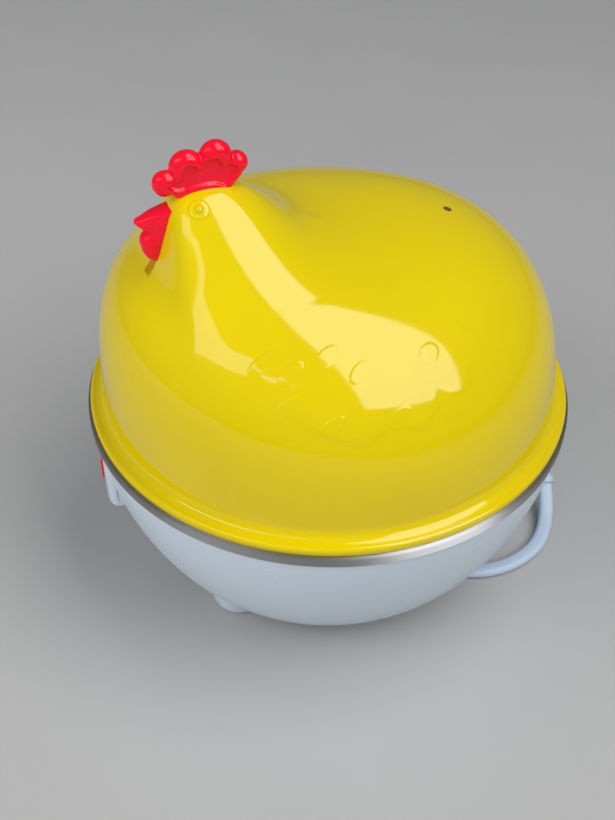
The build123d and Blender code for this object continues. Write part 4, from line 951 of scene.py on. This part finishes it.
PIVOT = Vector((0, -78.5, SWITCH_Z))
VEE = [(3.83, 9), (2.4, 0), (3.83, -9), (1.2, -9), (-1.2, -1), (-1.2, 1), (1.2, 9)]
ROCKER_H, ROCKER_ROUND, ROCKER_REST = 8.4, 0.5, math.radians(-9)
rocker = drawn_out([(along, -out, -ROCKER_H / 2) for out, along in VEE], (0, 0, ROCKER_H))
rounded(rocker, rocker.edges[:], ROCKER_ROUND, 3)
rocker_place = Matrix.Translation(PIVOT * MM) @ Matrix.Rotation(ROCKER_REST, 4, "Z")
bmesh.ops.transform(rocker, matrix=rocker_place, verts=rocker.verts)
piece("rocker_moulding", rocker, comb_red, "rocker", ["rocker"])

# %% [markdown]
# ## Boot and plug
# Where the cord leaves the bowl, a tapered boot keeps it from kinking, and at the far end it goes into a flat
# two-pin plug. A curve with a bevel would give the boot one even width, so a ring is extruded along its bend
# and drawn in at each groove. The plug is a plan view given its height, with all its edges rounded, and a
# band of finger ridges.

# %% Boot
ROOT, END = Vector((-2, 78.4, 27)), Vector((9.3, 87.7, 10.4))
AHEAD = (Vector(ROUTE[2]) - END).normalized()
HANDLE = 8
HANDLES = [ROOT, ROOT + Vector((0, HANDLE, 0)), END - AHEAD * HANDLE, END]
BOOT_RINGS, BOOT_ROOT_R, BOOT_TAPER = 48, 5.2, 1.6
GROOVES, GROOVE_SHARE, GROOVE_DEPTH, GROOVED_FROM, GROOVED_TO = 6, 0.3, 0.8, 0.12, 0.88
FLANGE = [(0, 0, 0), (6.6, 0, 0.3), (6.6, 2, 0.6), (0, 2, 0)]
UP = Vector((0, 0, 1))


def bend(t):
    """Point and direction of the boot's middle line."""
    a, b, c, d = HANDLES
    point = a * (1 - t) ** 3 + b * 3 * t * (1 - t) ** 2 + c * 3 * t * t * (1 - t) + d * t**3
    ahead = (b - a) * (1 - t) ** 2 + (c - b) * 2 * t * (1 - t) + (d - c) * t * t
    return point, ahead.normalized()


boot = bmesh.new()
bmesh.ops.create_circle(boot, segments=40, radius=1, cap_ends=True)
ring_edges, ring_verts = boot.edges[:], boot.verts[:]
for ring in range(BOOT_RINGS + 1):
    t = ring / BOOT_RINGS
    point, ahead = bend(t)
    grooved = GROOVED_FROM < t < GROOVED_TO and (t * GROOVES) % 1 < GROOVE_SHARE
    radius = BOOT_ROOT_R - BOOT_TAPER * t - (GROOVE_DEPTH if grooved else 0)
    across = ahead.cross(UP).normalized()
    upright = ahead.cross(across)
    if ring:
        made = bmesh.ops.extrude_edge_only(boot, edges=ring_edges)["geom"]
        ring_verts, ring_edges = new_verts(made), open_edges(made)
    for count, vert in enumerate(ring_verts):
        spoke = math.tau * count / len(ring_verts)
        vert.co = (point + (across * math.cos(spoke) + upright * math.sin(spoke)) * radius) * MM
bmesh.ops.contextual_create(boot, geom=ring_edges)
bmesh.ops.recalc_face_normals(boot, faces=boot.faces)
join(boot, spun(FLANGE, 48), BOSS_PLACE)
cord_boot = piece("cord_boot", boot, cord_white, "base", ["strain_relief"], sharp=30)

# %% Plug and pins
PLUG_X, PLUG_Y, PLUG_L, PLUG_H, PLUG_ROUND = -107, 78.4, 30, 13, 2.4
PLAN = [(0, -5.5), (9, -12), (PLUG_L, -12), (PLUG_L, 12), (9, 12), (0, 5.5)]
RIDGES, RIDGE_HALF_W, RIDGE_HALF_L, RIDGE_ROOT = (12, 15, 18, 21), 0.6, 9, 0.4
PIN, PIN_SIDE = [(0, -2, 0), (2, -2, 0), (2, 19, 0.8), (0, 19, 0)], 9.5
plug = drawn_out([(PLUG_X + x, PLUG_Y + y, 0) for x, y in PLAN], (0, 0, PLUG_H))
rounded(plug, plug.edges[:], PLUG_ROUND, 5)
for x in RIDGES:
    join(plug, block((PLUG_X + x - RIDGE_HALF_W, PLUG_X + x + RIDGE_HALF_W),
                     (PLUG_Y - RIDGE_HALF_L, PLUG_Y + RIDGE_HALF_L), (PLUG_H - RIDGE_ROOT, PLUG_H)))
plug_moulding = piece("plug_moulding", plug, cord_white, "base", ["plug_body"])

pins = bmesh.new()
for y in (-PIN_SIDE, PIN_SIDE):
    place = Matrix.Translation(Vector((PLUG_X + PLUG_L, PLUG_Y + y, PLUG_H / 2)) * MM)
    join(pins, spun(PIN, 32), place @ Matrix.Rotation(math.pi / 2, 4, "Y"))
pins_turned = piece("pins_turned", pins, pin_brass, "base", ["plug_pins"])

# %% [markdown]
# ## The tie
# A flat band holds the coil together on one side. It could be a short bevelled curve. A box with its long
# edges rounded, its two ends taken off and its skin thickened is the same band, and takes its size from the
# solid.

# %% Tie
TIE_INSET, TIE_STRETCH, TIE_FROM_Y, TIE_ROUND, TIE_T = 0.4, 1.11, 40, 1.6, 0.6
tie_low, tie_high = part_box("cord_tie")
tie = block(*[(low / MM + TIE_INSET, high / MM - TIE_INSET) for low, high in zip(tie_low, tie_high)])
ends = [face for face in tie.faces if abs(face.normal.y) > 0.5]
bmesh.ops.scale(tie, vec=(1, TIE_STRETCH, 1), space=Matrix.Translation((0, -TIE_FROM_Y * MM, 0)),
                verts=tie.verts)
long_edges = [e for e in tie.edges if abs((e.verts[0].co - e.verts[1].co).y) > MM]
bmesh.ops.delete(tie, geom=ends, context="FACES_ONLY")
rounded(tie, long_edges, TIE_ROUND, 5)
bmesh.ops.recalc_face_normals(tie, faces=tie.faces)
bmesh.ops.solidify(tie, geom=tie.faces[:], thickness=TIE_T * MM)
coil_tie = piece("coil_tie", tie, cord_white, "base", ["cord_tie"])

# %% [markdown]
# ## The cord's finish
# The cord takes the same white as its boot and plug.

# %% Cord
flat_cord.data.materials.append(cord_white)

# %% [markdown]
# ## The pieces inside
# The heater, the thermostat, the leads and the screws keep the shape of their solids, which are plain turned
# and stamped parts, and take the finish of what they are made of.

# %% Finishes of the solids
FINISHES = {
    tray_clear: ["egg_rack"],
    gasket_grey: ["pan_gasket"],
    heater_alloy: ["heater_ring"],
    screw_zinc: ["heater_pins", "heater_stud", "heater_nut", "heater_bracket", "bracket_screws",
                 "thermostat_clip", "clamp_screws", "cover_screws", "thermal_fuse"],
    switch_black: ["thermostat"],
    sleeve_braid: ["fuse_sleeve"],
    pin_brass: ["switch_terminals"],
    lead_brown: ["live_lead", "switch_lead", "fuse_lead", "heater_lead"],
    lead_blue: ["neutral_lead"],
    cord_white: ["crimp_caps", "cord_tail", "cord_clamp"],
    bowl_white: ["bottom_cover"],
}
for material, names in FINISHES.items():
    for name in names:
        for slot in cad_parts[name].material_slots:
            slot.material = material
print("solids with a finish:", sum(len(names) for names in FINISHES.values()))
